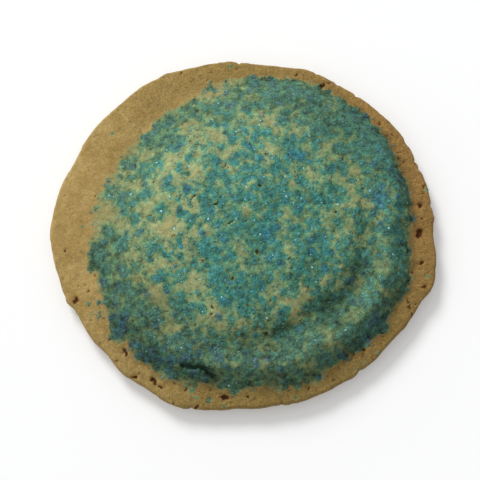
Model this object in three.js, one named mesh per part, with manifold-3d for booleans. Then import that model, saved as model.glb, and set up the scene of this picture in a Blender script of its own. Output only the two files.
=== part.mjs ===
// A puffy round sugar cookie, baked as one dropped piece of dough: a domed middle, a shallow dip and a
// flatter terrace around it, a shoulder that falls to a plain rim, a rounded edge and a flat underside.
// Coarse sanding sugar is pressed into its top, and the largest crystals are fused to it here.
// Millimetres, +Z up, the underside on Z = 0 and the middle of the cookie on the Z axis.

import * as THREE from 'three';
import { mergeVertices } from 'three/addons/utils/BufferGeometryUtils.js';
import Module from 'manifold-3d';

// ---- Driving dimensions ----

const width = 88; // across X
const depth = 81; // across Y
const ovalInset = 0.3; // leaves room for the outline's swellings

// The rounded edge: the height where it is widest, how far its upper curve reaches in, and how far the
// underside is tucked in.
const edgeMiddle = 3;
const edgeReach = 0.6;
const undercut = 1.6;

// The plain rim: its height where the rounded edge would end, and how it rises inwards.
const rim = { height: 4.1, rise: 1.2, run: 5 };

// The shoulder between the rim and the top: how far it climbs, half its width, and how far outside the sugar
// it starts.
const shoulder = { rise: 4.3, half: 2.7, outside: 0.4 };

// The dome in the middle, and the dip that rings it, deepest towards the front right. Its walls towards the
// dome and away from it have half-widths of their own.
const dome = { x: 0.3, y: 2, radius: 31, rise: 4.2 };
const dip = {
  radius: 28.1,
  inside: 2.6,
  outside: 4.6,
  depth: 1.6,
  deepestAt: -42,
  spread: 46,
  elsewhere: 0.3,
};

// The bare rim between the sugar and the outline.
const bareRim = 4.3;

// Changes with the polar angle, each as angle and half-width in degrees, and distance. The bare rim is
// narrowest behind on the right and widest behind on the left, where the shoulder is soft.
const bareRimChanges = [
  [145, 36, 4.8], [190, 20, 2.3], [62, 30, -1.6], [353, 12, 1.5], [248, 16, 0.4], [3, 10, 0.2],
  [284, 22, -0.7], [116, 12, 1], [262, 8, 0.6], [210, 8, 0.6], [179, 8, 1],
];
const shoulderChanges = [[155, 50, 5.2], [24, 16, -1.2], [352, 14, 0.8], [325, 16, -0.3]];
const dipChanges = [[-60, 16, -1.6], [-32, 12, 0.8]];

// Where the dough flowed further out or less far, from broad swellings to small notches.
const outlineChanges = [
  [247, 9, 1.5], [348.5, 6, 1.3], [205, 7, -0.9], [155, 9, -0.7], [317, 14, -0.9], [235, 7, 0.4],
  [113, 9, 0.6], [84, 6, -0.3], [68, 6, 0.4], [36, 10, 0.3], [281, 4, -0.3], [181, 7, 0.4],
  [52, 26, 0.3], [70, 4, 0.35], [102, 7, 0.5], [124, 6, 0.6], [216, 8, -0.45], [277, 6, -0.35],
  [297, 6, -0.2], [0.5, 5, -0.4], [88, 5, 0.2], [94.5, 3, 0.45], [110, 3, -0.2], [115.5, 2, 0.3],
  [151, 3, 0.3], [193.5, 3, -0.4], [201.5, 1.8, 0.45], [223.5, 4, -0.35], [230.5, 2, 0.25],
  [240, 4.5, -0.35], [256, 5, 0.3], [271, 4, -0.3], [316, 4.5, 0.45], [327, 3, -0.15], [343.5, 3, 0.45],
  [30, 1.2, -0.3], [286, 1.2, -0.3], [292.5, 1.5, -0.2], [310, 1, -0.4], [349, 1.5, -0.25],
];

// Fine unevenness all round the outline: waves to a turn, height and phase.
const outlineWaves = [
  { count: 13, height: 0.07, phase: 0.6 },
  { count: 22, height: 0.07, phase: 2.1 },
  { count: 31, height: 0.05, phase: 4.4 },
];

// Broad swellings and hollows of the top, each as place, half-width and rise.
const swellings = [
  [-17, 12, 7, 0.55], [-27, -9, 6, 0.3], [5, 15, 5, 0.3], [17, 23, 5, 0.4], [31, 3, 4.5, 0.4],
  [29, -17, 4, 0.5], [6, -32, 4, 0.4], [-9, -22, 5, 0.3], [10, -9, 5, 0.35], [-10, -8, 4, -0.4],
  [-4, 28, 4, -0.4], [23, 10, 4, -0.35], [-20, 27, 4, -0.35], [-36, -8, 3, -0.3],
];

// The largest pores that opened in the plain rim, each as place, radius and depth.
const pores = [
  [40.1, 0.2, 1.1, 0.8], [40.3, 6.2, 0.8, 0.5], [38.4, -9.2, 0.8, 0.5], [35.6, 19, 0.8, 0.5],
  [18.2, 34.6, 0.9, 0.7], [-4.2, -37.5, 1, 0.8], [-20.2, -33.6, 1, 0.7], [-26.6, -27.2, 0.9, 0.5],
  [-38, -15.4, 1.2, 0.5], [27.2, -26.7, 0.8, 0.5],
];

// A fold pinched in the front left of the shoulder: the points along it, its half-width and depth.
const fold = {
  points: [[-13.6, -30.2], [-10.9, -31], [-7, -32.9]],
  halfWidth: 0.9,
  depth: 1.1,
};

// The mesh: rings of the top, each with six sides more than the last and closer together outwards, and rings
// of the rounded edge.
const topRings = 24;
const ringCrowding = 0.85;
const upperEdgeRings = 3;
const lowerEdgeRings = 2;

// The largest sugar crystals: how many, their size across, their spacing and how much of each is buried.
const crystals = {
  count: 160,
  largest: 2.3,
  smallest: 1.5,
  spacing: 4,
  tries: 8000,
  buried: 0.6,
  flatness: 0.7,
  seed: 7,
};

// ---- Form ----

const radians = THREE.MathUtils.degToRad;

// A smooth bump of height 1 at 0 that fades over a distance of 1.
const bell = (t) => Math.exp(-t * t);

// Goes smoothly from 0 at -1 to 1 at +1.
const ramp = (t) => THREE.MathUtils.smoothstep(t, -1, 1);

// Difference of two polar angles in degrees, from -180 to 180.
const turnBetween = (a, b) => THREE.MathUtils.euclideanModulo(a - b + 180, 360) - 180;

// Sum of the changes that apply at a polar angle.
const changesAt = (changes, angle) => {
  return changes.reduce((sum, [at, spread, by]) => sum + by * bell(turnBetween(angle, at) / spread), 0);
};

// Radius of an oval with the cookie's width and depth.
function ovalRadius(angle) {
  const a = width / 2;
  const b = depth / 2;
  return (a * b) / Math.hypot(b * Math.cos(radians(angle)), a * Math.sin(radians(angle)));
}

function outlineRadius(angle) {
  const waves = outlineWaves.reduce((sum, wave) => {
    return sum + wave.height * Math.sin(wave.count * radians(angle) + wave.phase);
  }, 0);
  return ovalRadius(angle) - ovalInset + changesAt(outlineChanges, angle) + waves;
}

// The sugar covers everything inside this radius.
const sugarRadius = (angle) => outlineRadius(angle) - bareRim - changesAt(bareRimChanges, angle);

// Distance from a point to the nearest of the fold's stretches.
function distanceToFold(x, y) {
  const point = new THREE.Vector3(x, y, 0);
  const nearest = new THREE.Vector3();
  const corners = fold.points.map(([px, py]) => new THREE.Vector3(px, py, 0));
  const distances = corners.slice(1).map((end, i) => {
    return new THREE.Line3(corners[i], end).closestPointToPoint(point, true, nearest).distanceTo(point);
  });
  return Math.min(...distances);
}

// Height of the top: rim, shoulder and dome added up, less the ring-shaped dip, the fold and the pores.
function topHeight(x, y) {
  const angle = THREE.MathUtils.radToDeg(Math.atan2(y, x));
  const radius = Math.hypot(x, y);
  const inward = Math.max(outlineRadius(angle) - radius, 0);
  const rimPart = rim.height + rim.rise * (1 - Math.exp(-inward / rim.run));

  const half = shoulder.half + changesAt(shoulderChanges, angle);
  const middle = sugarRadius(angle) + shoulder.outside - half;
  const shoulderPart = shoulder.rise * ramp((middle - radius) / half);

  const fromDome = Math.hypot(x - dome.x, y - dome.y);
  const domePart = dome.rise * Math.pow(Math.max(1 - (fromDome / dome.radius) ** 2, 0), 1.5);

  const aboutDome = THREE.MathUtils.radToDeg(Math.atan2(y - dome.y, x - dome.x));
  const nearDeepest = bell(turnBetween(aboutDome, dip.deepestAt) / dip.spread);
  const dipStrength = THREE.MathUtils.lerp(dip.elsewhere, 1, nearDeepest);
  const beyond = fromDome - dip.radius - changesAt(dipChanges, aboutDome);
  const dipPart = dip.depth * dipStrength * bell(beyond / (beyond < 0 ? dip.inside : dip.outside));

  const bumps = (list) => list.reduce((sum, [px, py, size, height]) => {
    return sum + height * bell(Math.hypot(x - px, y - py) / size);
  }, 0);
  const folded = fold.depth * bell(distanceToFold(x, y) / fold.halfWidth);
  return rimPart + shoulderPart + domePart - dipPart + bumps(swellings) - bumps(pores) - folded;
}

// ---- The body: rings of points from the middle of the top, over the edge and under to the base ----

// One ring's points: count points whose radius and height are functions of the polar angle.
function ring(count, pointAt) {
  return Array.from({ length: count }, (_, i) => pointAt((360 * i) / count));
}

const pointOn = (angle, radius, height) => {
  const x = radius * Math.cos(radians(angle));
  const y = radius * Math.sin(radians(angle));
  return [x, y, height ?? topHeight(x, y)];
};

// Triangles between a ring of six times n points and the next one out, of six times n + 1 points.
function growingBand(innerStart, outerStart, n) {
  const inner = n === 0 ? 1 : 6 * n;
  const outer = 6 * (n + 1);
  const faces = [];
  for (let side = 0; side < 6; side++) {
    for (let step = 0; step <= n; step++) {
      const a = innerStart + ((side * n + step) % inner);
      const b = outerStart + side * (n + 1) + step;
      const c = outerStart + ((side * (n + 1) + step + 1) % outer);
      faces.push(a, b, c);
      if (step < n) faces.push(a, c, innerStart + ((side * n + step + 1) % inner));
    }
  }
  return faces;
}

// Triangles between two rings of the same number of points.
function evenBand(innerStart, outerStart, count) {
  const faces = [];
  for (let i = 0; i < count; i++) {
    const j = (i + 1) % count;
    faces.push(innerStart + i, outerStart + i, outerStart + j);
    faces.push(innerStart + i, outerStart + j, innerStart + j);
  }
  return faces;
}

function makeBody() {
  const points = [[0, 0, topHeight(0, 0)]];
  const faces = [];
  const lastCount = 6 * topRings;
  let previous = 0;
  for (let n = 0; n < topRings; n++) {
    const share = ((n + 1) / topRings) ** ringCrowding;
    const start = points.length;
    points.push(...ring(6 * (n + 1), (angle) => pointOn(angle, share * (outlineRadius(angle) - edgeReach))));
    faces.push(...growingBand(previous, start, n));
    previous = start;
  }

  const addEdgeRing = (pointAt) => {
    const start = points.length;
    points.push(...ring(lastCount, pointAt));
    faces.push(...evenBand(previous, start, lastCount));
    previous = start;
  };
  // The upper curve is a quarter of an ellipse from the top's outer ring to the widest point.
  for (let i = 1; i <= upperEdgeRings; i++) {
    const turn = ((Math.PI / 2) * i) / upperEdgeRings;
    addEdgeRing((angle) => {
      const radius = outlineRadius(angle) - edgeReach * (1 - Math.sin(turn));
      const [x, y, top] = pointOn(angle, radius);
      return [x, y, edgeMiddle + (top - edgeMiddle) * Math.cos(turn)];
    });
  }
  // The lower curve is a quarter of an ellipse from the widest point to the flat base.
  for (let i = 1; i <= lowerEdgeRings; i++) {
    const turn = ((Math.PI / 2) * i) / lowerEdgeRings;
    addEdgeRing((angle) => {
      const radius = outlineRadius(angle) - undercut * (1 - Math.cos(turn));
      return pointOn(angle, radius, edgeMiddle * (1 - Math.sin(turn)));
    });
  }
  points.push([0, 0, 0]);
  for (let i = 0; i < lastCount; i++) {
    faces.push(previous + i, points.length - 1, previous + ((i + 1) % lastCount));
  }

  const geometry = new THREE.BufferGeometry();
  geometry.setAttribute('position', new THREE.Float32BufferAttribute(points.flat(), 3));
  geometry.setIndex(faces);
  return geometry;
}

// ---- The largest sugar crystals ----

// A small seeded generator of numbers from 0 to 1, so that every run places the same crystals.
function seededRandom(seed) {
  let state = seed;
  return () => {
    state = (state + 0x6d2b79f5) | 0;
    let t = Math.imul(state ^ (state >>> 15), 1 | state);
    t = (t + Math.imul(t ^ (t >>> 7), 61 | t)) ^ t;
    return ((t ^ (t >>> 14)) >>> 0) / 4294967296;
  };
}

// Places spread evenly over the sugared top: a random place is kept when no other is nearer than the spacing.
function crystalPlaces(random) {
  const places = [];
  for (let i = 0; i < crystals.tries && places.length < crystals.count; i++) {
    const x = (random() - 0.5) * width;
    const y = (random() - 0.5) * depth;
    const limit = sugarRadius(THREE.MathUtils.radToDeg(Math.atan2(y, x))) - crystals.largest / 2;
    const free = places.every((p) => Math.hypot(p.x - x, p.y - y) > crystals.spacing);
    if (Math.hypot(x, y) < limit && free) places.push(new THREE.Vector3(x, y, topHeight(x, y)));
  }
  return places;
}

// The direction that the top faces at a place, from the heights a short step to each side.
function topNormal(x, y) {
  const step = 0.4;
  const slopeX = (topHeight(x + step, y) - topHeight(x - step, y)) / (2 * step);
  const slopeY = (topHeight(x, y + step) - topHeight(x, y - step)) / (2 * step);
  return new THREE.Vector3(-slopeX, -slopeY, 1).normalize();
}

// A blocky sugar crystal: a box with uneven corners, lying on the top and partly buried.
function makeCrystal(place, size, random) {
  const geometry = new THREE.BoxGeometry(size, size, size);
  geometry.deleteAttribute('normal');
  geometry.deleteAttribute('uv');
  const merged = mergeVertices(geometry, 1e-4);
  const corners = merged.getAttribute('position');
  for (let i = 0; i < corners.count; i++) {
    const stretch = 0.8 + 0.4 * random();
    corners.setXYZ(i, corners.getX(i) * stretch, corners.getY(i) * stretch, corners.getZ(i) * stretch);
  }
  const normal = topNormal(place.x, place.y);
  const lie = new THREE.Quaternion().setFromUnitVectors(new THREE.Vector3(0, 0, 1), normal);
  const spin = new THREE.Quaternion().setFromAxisAngle(new THREE.Vector3(0, 0, 1), random() * Math.PI);
  const centre = place.clone().addScaledVector(normal, (0.5 - crystals.buried) * size * crystals.flatness);
  const scale = new THREE.Vector3(1, 0.7 + 0.3 * random(), crystals.flatness);
  merged.applyMatrix4(new THREE.Matrix4().compose(centre, lie.multiply(spin), scale));
  return merged;
}

// ---- Joining ----

const wasm = await Module();
wasm.setup();

function toSolid(geometry) {
  const vertProperties = new Float32Array(geometry.getAttribute('position').array);
  const triVerts = new Uint32Array(geometry.getIndex().array);
  return new wasm.Manifold(new wasm.Mesh({ numProp: 3, vertProperties, triVerts }));
}

function toGeometry(solid) {
  const mesh = solid.getMesh();
  const geometry = new THREE.BufferGeometry();
  geometry.setAttribute('position', new THREE.BufferAttribute(mesh.vertProperties, mesh.numProp));
  geometry.setIndex(new THREE.BufferAttribute(mesh.triVerts, 1));
  return geometry;
}

function makeCookie() {
  const random = seededRandom(crystals.seed);
  const places = crystalPlaces(random);
  let solid = toSolid(makeBody());
  places.forEach((place, i) => {
    const size = THREE.MathUtils.lerp(crystals.largest, crystals.smallest, i / (places.length - 1));
    solid = solid.add(toSolid(makeCrystal(place, size, random)));
  });
  const geometry = toGeometry(solid);

  // The outline is uneven, so the middle of its box is brought onto the Z axis.
  geometry.computeBoundingBox();
  const middle = geometry.boundingBox.getCenter(new THREE.Vector3());
  geometry.translate(-middle.x, -middle.y, 0);
  geometry.computeVertexNormals();
  return geometry;
}

const cookie = new THREE.Mesh(
  makeCookie(),
  new THREE.MeshStandardMaterial({ color: '#a58d59', roughness: 0.8, metalness: 0 }),
);
cookie.name = 'cookie';

const group = new THREE.Group();
group.add(cookie);

export default group;
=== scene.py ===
import math

import bpy
import numpy as np
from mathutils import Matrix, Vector


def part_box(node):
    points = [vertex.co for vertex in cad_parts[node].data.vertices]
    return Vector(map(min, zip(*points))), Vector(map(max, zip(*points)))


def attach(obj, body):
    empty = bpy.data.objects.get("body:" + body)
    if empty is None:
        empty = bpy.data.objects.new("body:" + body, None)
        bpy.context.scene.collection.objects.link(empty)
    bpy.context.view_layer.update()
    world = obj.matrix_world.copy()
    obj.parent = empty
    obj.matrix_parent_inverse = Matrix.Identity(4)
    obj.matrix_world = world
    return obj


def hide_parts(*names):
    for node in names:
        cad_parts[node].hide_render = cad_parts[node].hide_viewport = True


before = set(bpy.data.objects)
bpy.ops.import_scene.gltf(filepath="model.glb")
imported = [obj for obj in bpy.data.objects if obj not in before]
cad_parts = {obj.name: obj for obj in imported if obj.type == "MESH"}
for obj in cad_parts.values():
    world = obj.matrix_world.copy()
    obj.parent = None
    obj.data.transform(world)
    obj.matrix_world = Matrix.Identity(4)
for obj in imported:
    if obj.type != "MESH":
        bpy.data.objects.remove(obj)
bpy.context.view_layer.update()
lowCorner, highCorner = (np.array(corner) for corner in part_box("cookie"))

# Shapes are worked out in millimetres and brought into the frame's metres at the end.
mm = 0.001


view = {
    "elevation": 80,       # degrees above the table, seen from the front
    "distance": 500,
    "frameWidth": 109.8,   # what the camera spans at the cookie
    "aim": (-0.7, -1.3, 2.0),
}


def makeCamera():
    aim = Vector(view["aim"]) * mm
    rise = math.radians(view["elevation"])
    away = Vector((0, -math.cos(rise), math.sin(rise))) * view["distance"] * mm
    data = bpy.data.cameras.new("camera")
    data.sensor_width = 36
    data.lens = data.sensor_width * view["distance"] / view["frameWidth"]
    data.clip_start = 0.01
    camera = bpy.data.objects.new("camera", data)
    camera.location = aim + away
    camera.rotation_euler = (-away).to_track_quat("-Z", "Y").to_euler()
    bpy.context.scene.collection.objects.link(camera)
    bpy.context.scene.camera = camera


# One soft box: bearing and height in degrees about the cookie, distance and size in metres, and the share of
# the floor's light that it gives. The sky gives the rest, and is brighter at the back left.
softBox = {"bearing": 119, "height": 39, "distance": 3, "size": 1.15, "share": 0.42}
sky = {"fromLeft": 0.55, "fromBack": 0.45}
floorLight = 1.08


def makeLights():
    bearing, height = math.radians(softBox["bearing"]), math.radians(softBox["height"])
    level = math.cos(height)
    towards = Vector((math.cos(bearing) * level, math.sin(bearing) * level, math.sin(height)))
    data = bpy.data.lights.new("soft_box", "AREA")
    data.shape = "DISK"
    data.size = softBox["size"]
    # A disc of this power lights a level white floor with its share.
    data.energy = floorLight * softBox["share"] * (math.pi * softBox["distance"]) ** 2 / math.sin(height)
    light = bpy.data.objects.new("soft_box", data)
    light.location = towards * softBox["distance"]
    light.rotation_euler = (-towards).to_track_quat("-Z", "Y").to_euler()
    bpy.context.scene.collection.objects.link(light)

    world = bpy.data.worlds.new("studio")
    world.use_nodes = True
    tree = world.node_tree
    background = tree.nodes["Background"]
    direction = tree.nodes.new("ShaderNodeTexCoord")
    lean = tree.nodes.new("ShaderNodeVectorMath")
    lean.operation = "DOT_PRODUCT"
    lean.inputs[1].default_value = (-sky["fromLeft"], sky["fromBack"], 0)
    strength = tree.nodes.new("ShaderNodeMath")
    strength.operation = "MULTIPLY_ADD"
    strength.inputs[1].default_value = strength.inputs[2].default_value = floorLight * (1 - softBox["share"])
    tree.links.new(direction.outputs["Generated"], lean.inputs[0])
    tree.links.new(lean.outputs["Value"], strength.inputs[0])
    tree.links.new(strength.outputs["Value"], background.inputs["Strength"])
    background.inputs["Color"].default_value = (1, 1, 1, 1)
    bpy.context.scene.world = world
    bpy.context.scene.view_settings.view_transform = "Standard"


makeCamera()
makeLights()
print("camera and lights ready")


def bell(t):
    # A smooth bump of height 1 at 0 that fades over a distance of 1.
    return np.exp(-t * t)


def ramp(low, high, t):
    # Goes smoothly from 0 at low to 1 at high.
    s = np.clip((t - low) / (high - low), 0, 1)
    return s * s * (3 - 2 * s)


def blend(a, b, share):
    return a + (b - a) * share


def turnBetween(a, b):
    # Difference of two angles in degrees, from -180 to 180.
    return (a - b + 180) % 360 - 180


def angleOf(x, y):
    return np.degrees(np.arctan2(y, x))


def fromPolar(radius, angle):
    # The places at these radii and angles in degrees.
    turn = np.radians(angle)
    return radius * np.cos(turn), radius * np.sin(turn)


def changesAt(changes, angle):
    # Sum of bumps around the cookie, each an angle, its half-width in degrees and a height.
    return sum(by * bell(turnBetween(angle, at) / spread) for at, spread, by in changes)


def gatherAt(groups, x, y):
    # Sum of round bumps, each x, y, half-width and a height.
    return sum(by * bell(np.hypot(x - gx, y - gy) / spread) for gx, gy, spread, by in groups)


latticeSide = 64


def unevenness(x, y, z, size, seed):
    # Smooth noise from -1 to 1: seeded numbers on a cubic lattice of this size, blended by smooth steps. The
    # lattice repeats after its side.
    numbers = np.random.default_rng(seed).uniform(-1, 1, (latticeSide, latticeSide, latticeSide))
    places = [np.asarray(axis, float) / size for axis in np.broadcast_arrays(x, y, z)]
    corners = [np.floor(place).astype(int) for place in places]
    steps = [ramp(0, 1, place - corner) for place, corner in zip(places, corners)]
    total = np.zeros(places[0].shape)
    for i in (0, 1):
        for j in (0, 1):
            for k in (0, 1):
                share = 1
                for step, side in zip(steps, (i, j, k)):
                    share = share * (step if side else 1 - step)
                index = tuple((corner + side) % latticeSide for corner, side in zip(corners, (i, j, k)))
                total += share * numbers[index]
    return total


# Form of the cookie, in millimetres about its own middle.
dough = {
    "width": 88, "depth": 81, "inset": 0.3,                    # oval that the outline departs from
    "edgeMiddle": 3, "edgeReach": 0.6, "undercut": 1.6,        # rounded edge
    "rimHeight": 4.1, "rimRise": 1.2, "rimRun": 5,             # plain rim
    "bareRim": 4.3,                                            # between sugar and outline
}

# The shoulder rises from the rim's inner border, steeply on the right and softly at the back left.
shoulder = {"rise": 4.3, "half": 2.7, "outside": 0.4}
dome = {"x": 0.3, "y": 2, "radius": 31, "rise": 4.2}
dip = {
    "radius": 28.1, "inside": 2.6, "outside": 4.6,             # half-widths of its inner and outer wall
    "depth": 1.6, "deepestAt": -42, "spread": 46, "elsewhere": 0.3,
}

# The fold in the front left slope, as points along it: x, y.
fold = {
    "points": [(-13.6, -30.4), (-12.2, -30.9), (-10.9, -31), (-9.8, -30.8), (-8.6, -31.5), (-6.8, -32.9)],
    "halfWidth": 0.5, "depth": 1.5,
}

# Changes by polar angle, of the plain rim's width, the shoulder's half-width, the dip's radius and the
# outline: angle, half-width in degrees, distance.
bareRimChanges = [
    (145, 36, 4.8), (190, 20, 2.3), (62, 30, -1.6), (353, 12, 1.5), (248, 16, 0.4), (3, 10, 0.2),
    (284, 22, -0.7), (116, 12, 1), (262, 8, 0.6), (210, 8, 0.6), (179, 8, 1),
]
shoulderChanges = [(155, 50, 5.2), (24, 16, -1.2), (352, 14, 0.8), (325, 16, -0.3)]
dipChanges = [(-60, 16, -1.6), (-32, 12, 0.8)]
outlineChanges = [
    (247, 9, 1.5), (348.5, 6, 1.3), (205, 7, -0.9), (155, 9, -0.7), (317, 14, -0.9), (235, 7, 0.4),
    (113, 9, 0.6), (84, 6, -0.3), (68, 6, 0.4), (36, 10, 0.3), (281, 4, -0.3), (181, 7, 0.4), (52, 26, 0.3),
    (70, 4, 0.35), (102, 7, 0.5), (124, 6, 0.6), (216, 8, -0.45), (277, 6, -0.35), (297, 6, -0.2),
    (0.5, 5, -0.4), (88, 5, 0.2), (94.5, 3, 0.45), (110, 3, -0.2), (115.5, 2, 0.3), (151, 3, 0.3),
    (193.5, 3, -0.4), (201.5, 1.8, 0.45), (223.5, 4, -0.35), (230.5, 2, 0.25), (240, 4.5, -0.35),
    (256, 5, 0.3), (271, 4, -0.3), (316, 4.5, 0.45), (327, 3, -0.15), (343.5, 3, 0.45), (30, 1.2, -0.3),
    (286, 1.2, -0.3), (292.5, 1.5, -0.2), (310, 1, -0.4), (349, 1.5, -0.25),
]

# Sharp little notches of the outline, and one bump.
notches = [
    (51.3, 0.7, -0.3), (58.4, 0.7, -0.25), (23.4, 0.7, -0.35), (20.6, 0.8, -0.3), (66, 0.6, -0.2),
    (253.5, 0.5, -0.35), (8.8, 0.9, -0.45), (5, 1.2, 0.3), (91.5, 0.5, -0.45), (282.5, 0.5, -0.25),
]

# Fine waves of the outline: waves to a turn, height, phase.
outlineWaves = [(13, 0.07, 0.6), (22, 0.07, 2.1), (31, 0.05, 4.4)]

# Broad swellings and hollows of the top: x, y, half-width, rise.
swellings = [
    (-17, 12, 7, 0.55), (-27, -9, 6, 0.3), (5, 15, 5, 0.3), (17, 23, 5, 0.4), (31, 3, 4.5, 0.4),
    (29, -17, 4, 0.5), (6, -32, 4, 0.4), (-9, -22, 5, 0.3), (10, -9, 5, 0.35), (-10, -8, 4, -0.4),
    (-4, 28, 4, -0.4), (23, 10, 4, -0.35), (-20, 27, 4, -0.35), (-36, -8, 3, -0.3),
]


def outlineRadius(angle):
    # The radius of an oval, plus the changes, the notches and the waves.
    turn = np.radians(angle)
    a, b = dough["width"] / 2, dough["depth"] / 2
    oval = a * b / np.hypot(b * np.cos(turn), a * np.sin(turn))
    waves = sum(height * np.sin(count * turn + phase) for count, height, phase in outlineWaves)
    return oval - dough["inset"] + changesAt(outlineChanges + notches, angle) + waves


def sugarRadius(angle):
    return outlineRadius(angle) - dough["bareRim"] - changesAt(bareRimChanges, angle)


# Where the grains reach further out or less far than the shoulder does.
borderChanges = [
    (197.5, 3, -1.2), (202.5, 3, -0.6), (218.5, 4, 1.2), (255.5, 3, -0.9), (267, 4, 1.4), (283, 2.2, 1.3),
    (316, 3, -0.3), (325.5, 4, 1.4), (86, 8, 0.6), (297, 5, 1.3), (309.5, 3.5, -1.1), (214, 6, 0.5),
    (190, 4, 0.4),
]


def grainBorder(angle):
    return sugarRadius(angle) + changesAt(borderChanges, angle)


def foldDistance(x, y):
    # Distance from each point to the nearest of the fold's stretches.
    nearest = np.full(np.shape(x), 1e3)
    points = np.array(fold["points"], float)
    for start, end in zip(points[:-1], points[1:]):
        along = end - start
        share = np.clip(((x - start[0]) * along[0] + (y - start[1]) * along[1]) / (along @ along), 0, 1)
        distance = np.hypot(x - start[0] - share * along[0], y - start[1] - share * along[1])
        nearest = np.minimum(nearest, distance)
    return nearest


def aboutDome(x, y):
    # Distance from the dome's middle, and the angle around it.
    return np.hypot(x - dome["x"], y - dome["y"]), angleOf(x - dome["x"], y - dome["y"])


def aboutDip(x, y):
    # Distance outwards from the line of the dip, and from 1 where the dip is deepest to 0 on the other side.
    fromDome, around = aboutDome(x, y)
    beyond = fromDome - dip["radius"] - changesAt(dipChanges, around)
    return beyond, bell(turnBetween(around, dip["deepestAt"]) / dip["spread"])


def formHeight(x, y):
    # Rim, shoulder and dome added up, less the ring-shaped dip and the fold, plus the swellings.
    angle, radius = angleOf(x, y), np.hypot(x, y)
    inward = np.maximum(outlineRadius(angle) - radius, 0)
    rimPart = dough["rimHeight"] + dough["rimRise"] * (1 - np.exp(-inward / dough["rimRun"]))

    half = shoulder["half"] + changesAt(shoulderChanges, angle)
    middle = sugarRadius(angle) + shoulder["outside"] - half
    shoulderPart = shoulder["rise"] * ramp(-1, 1, (middle - radius) / half)

    fromDome = aboutDome(x, y)[0]
    domePart = dome["rise"] * np.maximum(1 - (fromDome / dome["radius"]) ** 2, 0) ** 1.5

    beyond, deepest = aboutDip(x, y)
    wall = np.where(beyond < 0, dip["inside"], dip["outside"])
    dipPart = dip["depth"] * blend(dip["elsewhere"], 1, deepest) * bell(beyond / wall)

    folded = fold["depth"] * bell(foldDistance(x, y) / fold["halfWidth"])
    return rimPart + shoulderPart + domePart - dipPart + gatherAt(swellings, x, y) - folded


# Lumps of the top: size across and height. The dough is smooth at the back left, rough at the front right.
lumps = [(8, 0.22), (4.2, 0.14), (2.1, 0.09), (1.1, 0.055), (0.6, 0.03)]
lumpiness = {"least": 0.55, "most": 1.15, "roughestAt": -30, "spread": 95}


def topHeight(x, y):
    # The form plus lumps of falling size, less the pores.
    roughest = bell(turnBetween(angleOf(x, y), lumpiness["roughestAt"]) / lumpiness["spread"])
    rough = sum(height * unevenness(x, y, 0, size, 11 + i) for i, (size, height) in enumerate(lumps))
    rough *= blend(lumpiness["least"], lumpiness["most"], roughest)
    return formHeight(x, y) + rough - poreDepth(x, y)[0]


# The largest pores, placed one by one: x, y, length, width, direction in degrees, depth.
placedPores = [
    (40.1, 0.2, 1.3, 0.9, 70, 0.9), (40.3, 6.2, 0.7, 0.5, 100, 0.6), (40.4, -6.8, 0.7, 0.5, 30, 0.5),
    (38.4, -9.2, 0.6, 0.4, 120, 0.5), (41, -12.3, 0.5, 0.4, 0, 0.4), (33.1, 22.6, 0.35, 0.25, 0, 0.3),
    (34.2, 23.1, 0.4, 0.25, 40, 0.3), (35.4, 19, 0.4, 0.3, 0, 0.3), (36.1, 19.1, 0.3, 0.25, 0, 0.3),
    (36.7, 16.7, 0.5, 0.3, 110, 0.35), (18.2, 34.6, 1, 0.7, 20, 0.8), (12.3, 37.2, 0.6, 0.4, 60, 0.5),
    (37.2, -15.4, 0.8, 0.2, 120, 0.5), (37.8, -16.8, 0.9, 0.2, 105, 0.5), (38, -18.3, 0.7, 0.2, 90, 0.45),
    (27.2, -26.7, 0.5, 0.45, 0, 0.5), (29, -28.3, 0.4, 0.3, 50, 0.3), (1, -37.5, 0.5, 0.4, 0, 0.4),
    (-4.2, -37.5, 1.1, 0.7, 10, 0.9), (-20.2, -33.6, 1.3, 0.5, 125, 0.7),
    (-18.6, -34.8, 0.9, 0.35, 160, 0.4), (-24.6, -32.7, 0.6, 0.45, 15, 0.5),
    (-26.6, -27.2, 1, 0.4, 110, 0.6), (-28.5, -29.2, 0.5, 0.3, 0, 0.3), (-32.3, -25.2, 0.6, 0.4, 140, 0.25),
    (-38, -15.4, 1.2, 0.8, 30, 0.5), (-33.8, -9.9, 0.4, 0.3, 90, 0.3), (-37.6, -12, 0.3, 0.3, 0, 0.3),
    (-34.4, -19.9, 0.3, 0.25, 0, 0.3), (-12.9, -35.6, 0.5, 0.3, 30, 0.4), (8.4, -38.2, 1.1, 0.15, 100, 0.3),
    (-10.4, -39.3, 0.5, 0.4, 40, 0.5), (39.6, -11.2, 0.5, 0.3, 60, 0.4),
]

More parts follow.
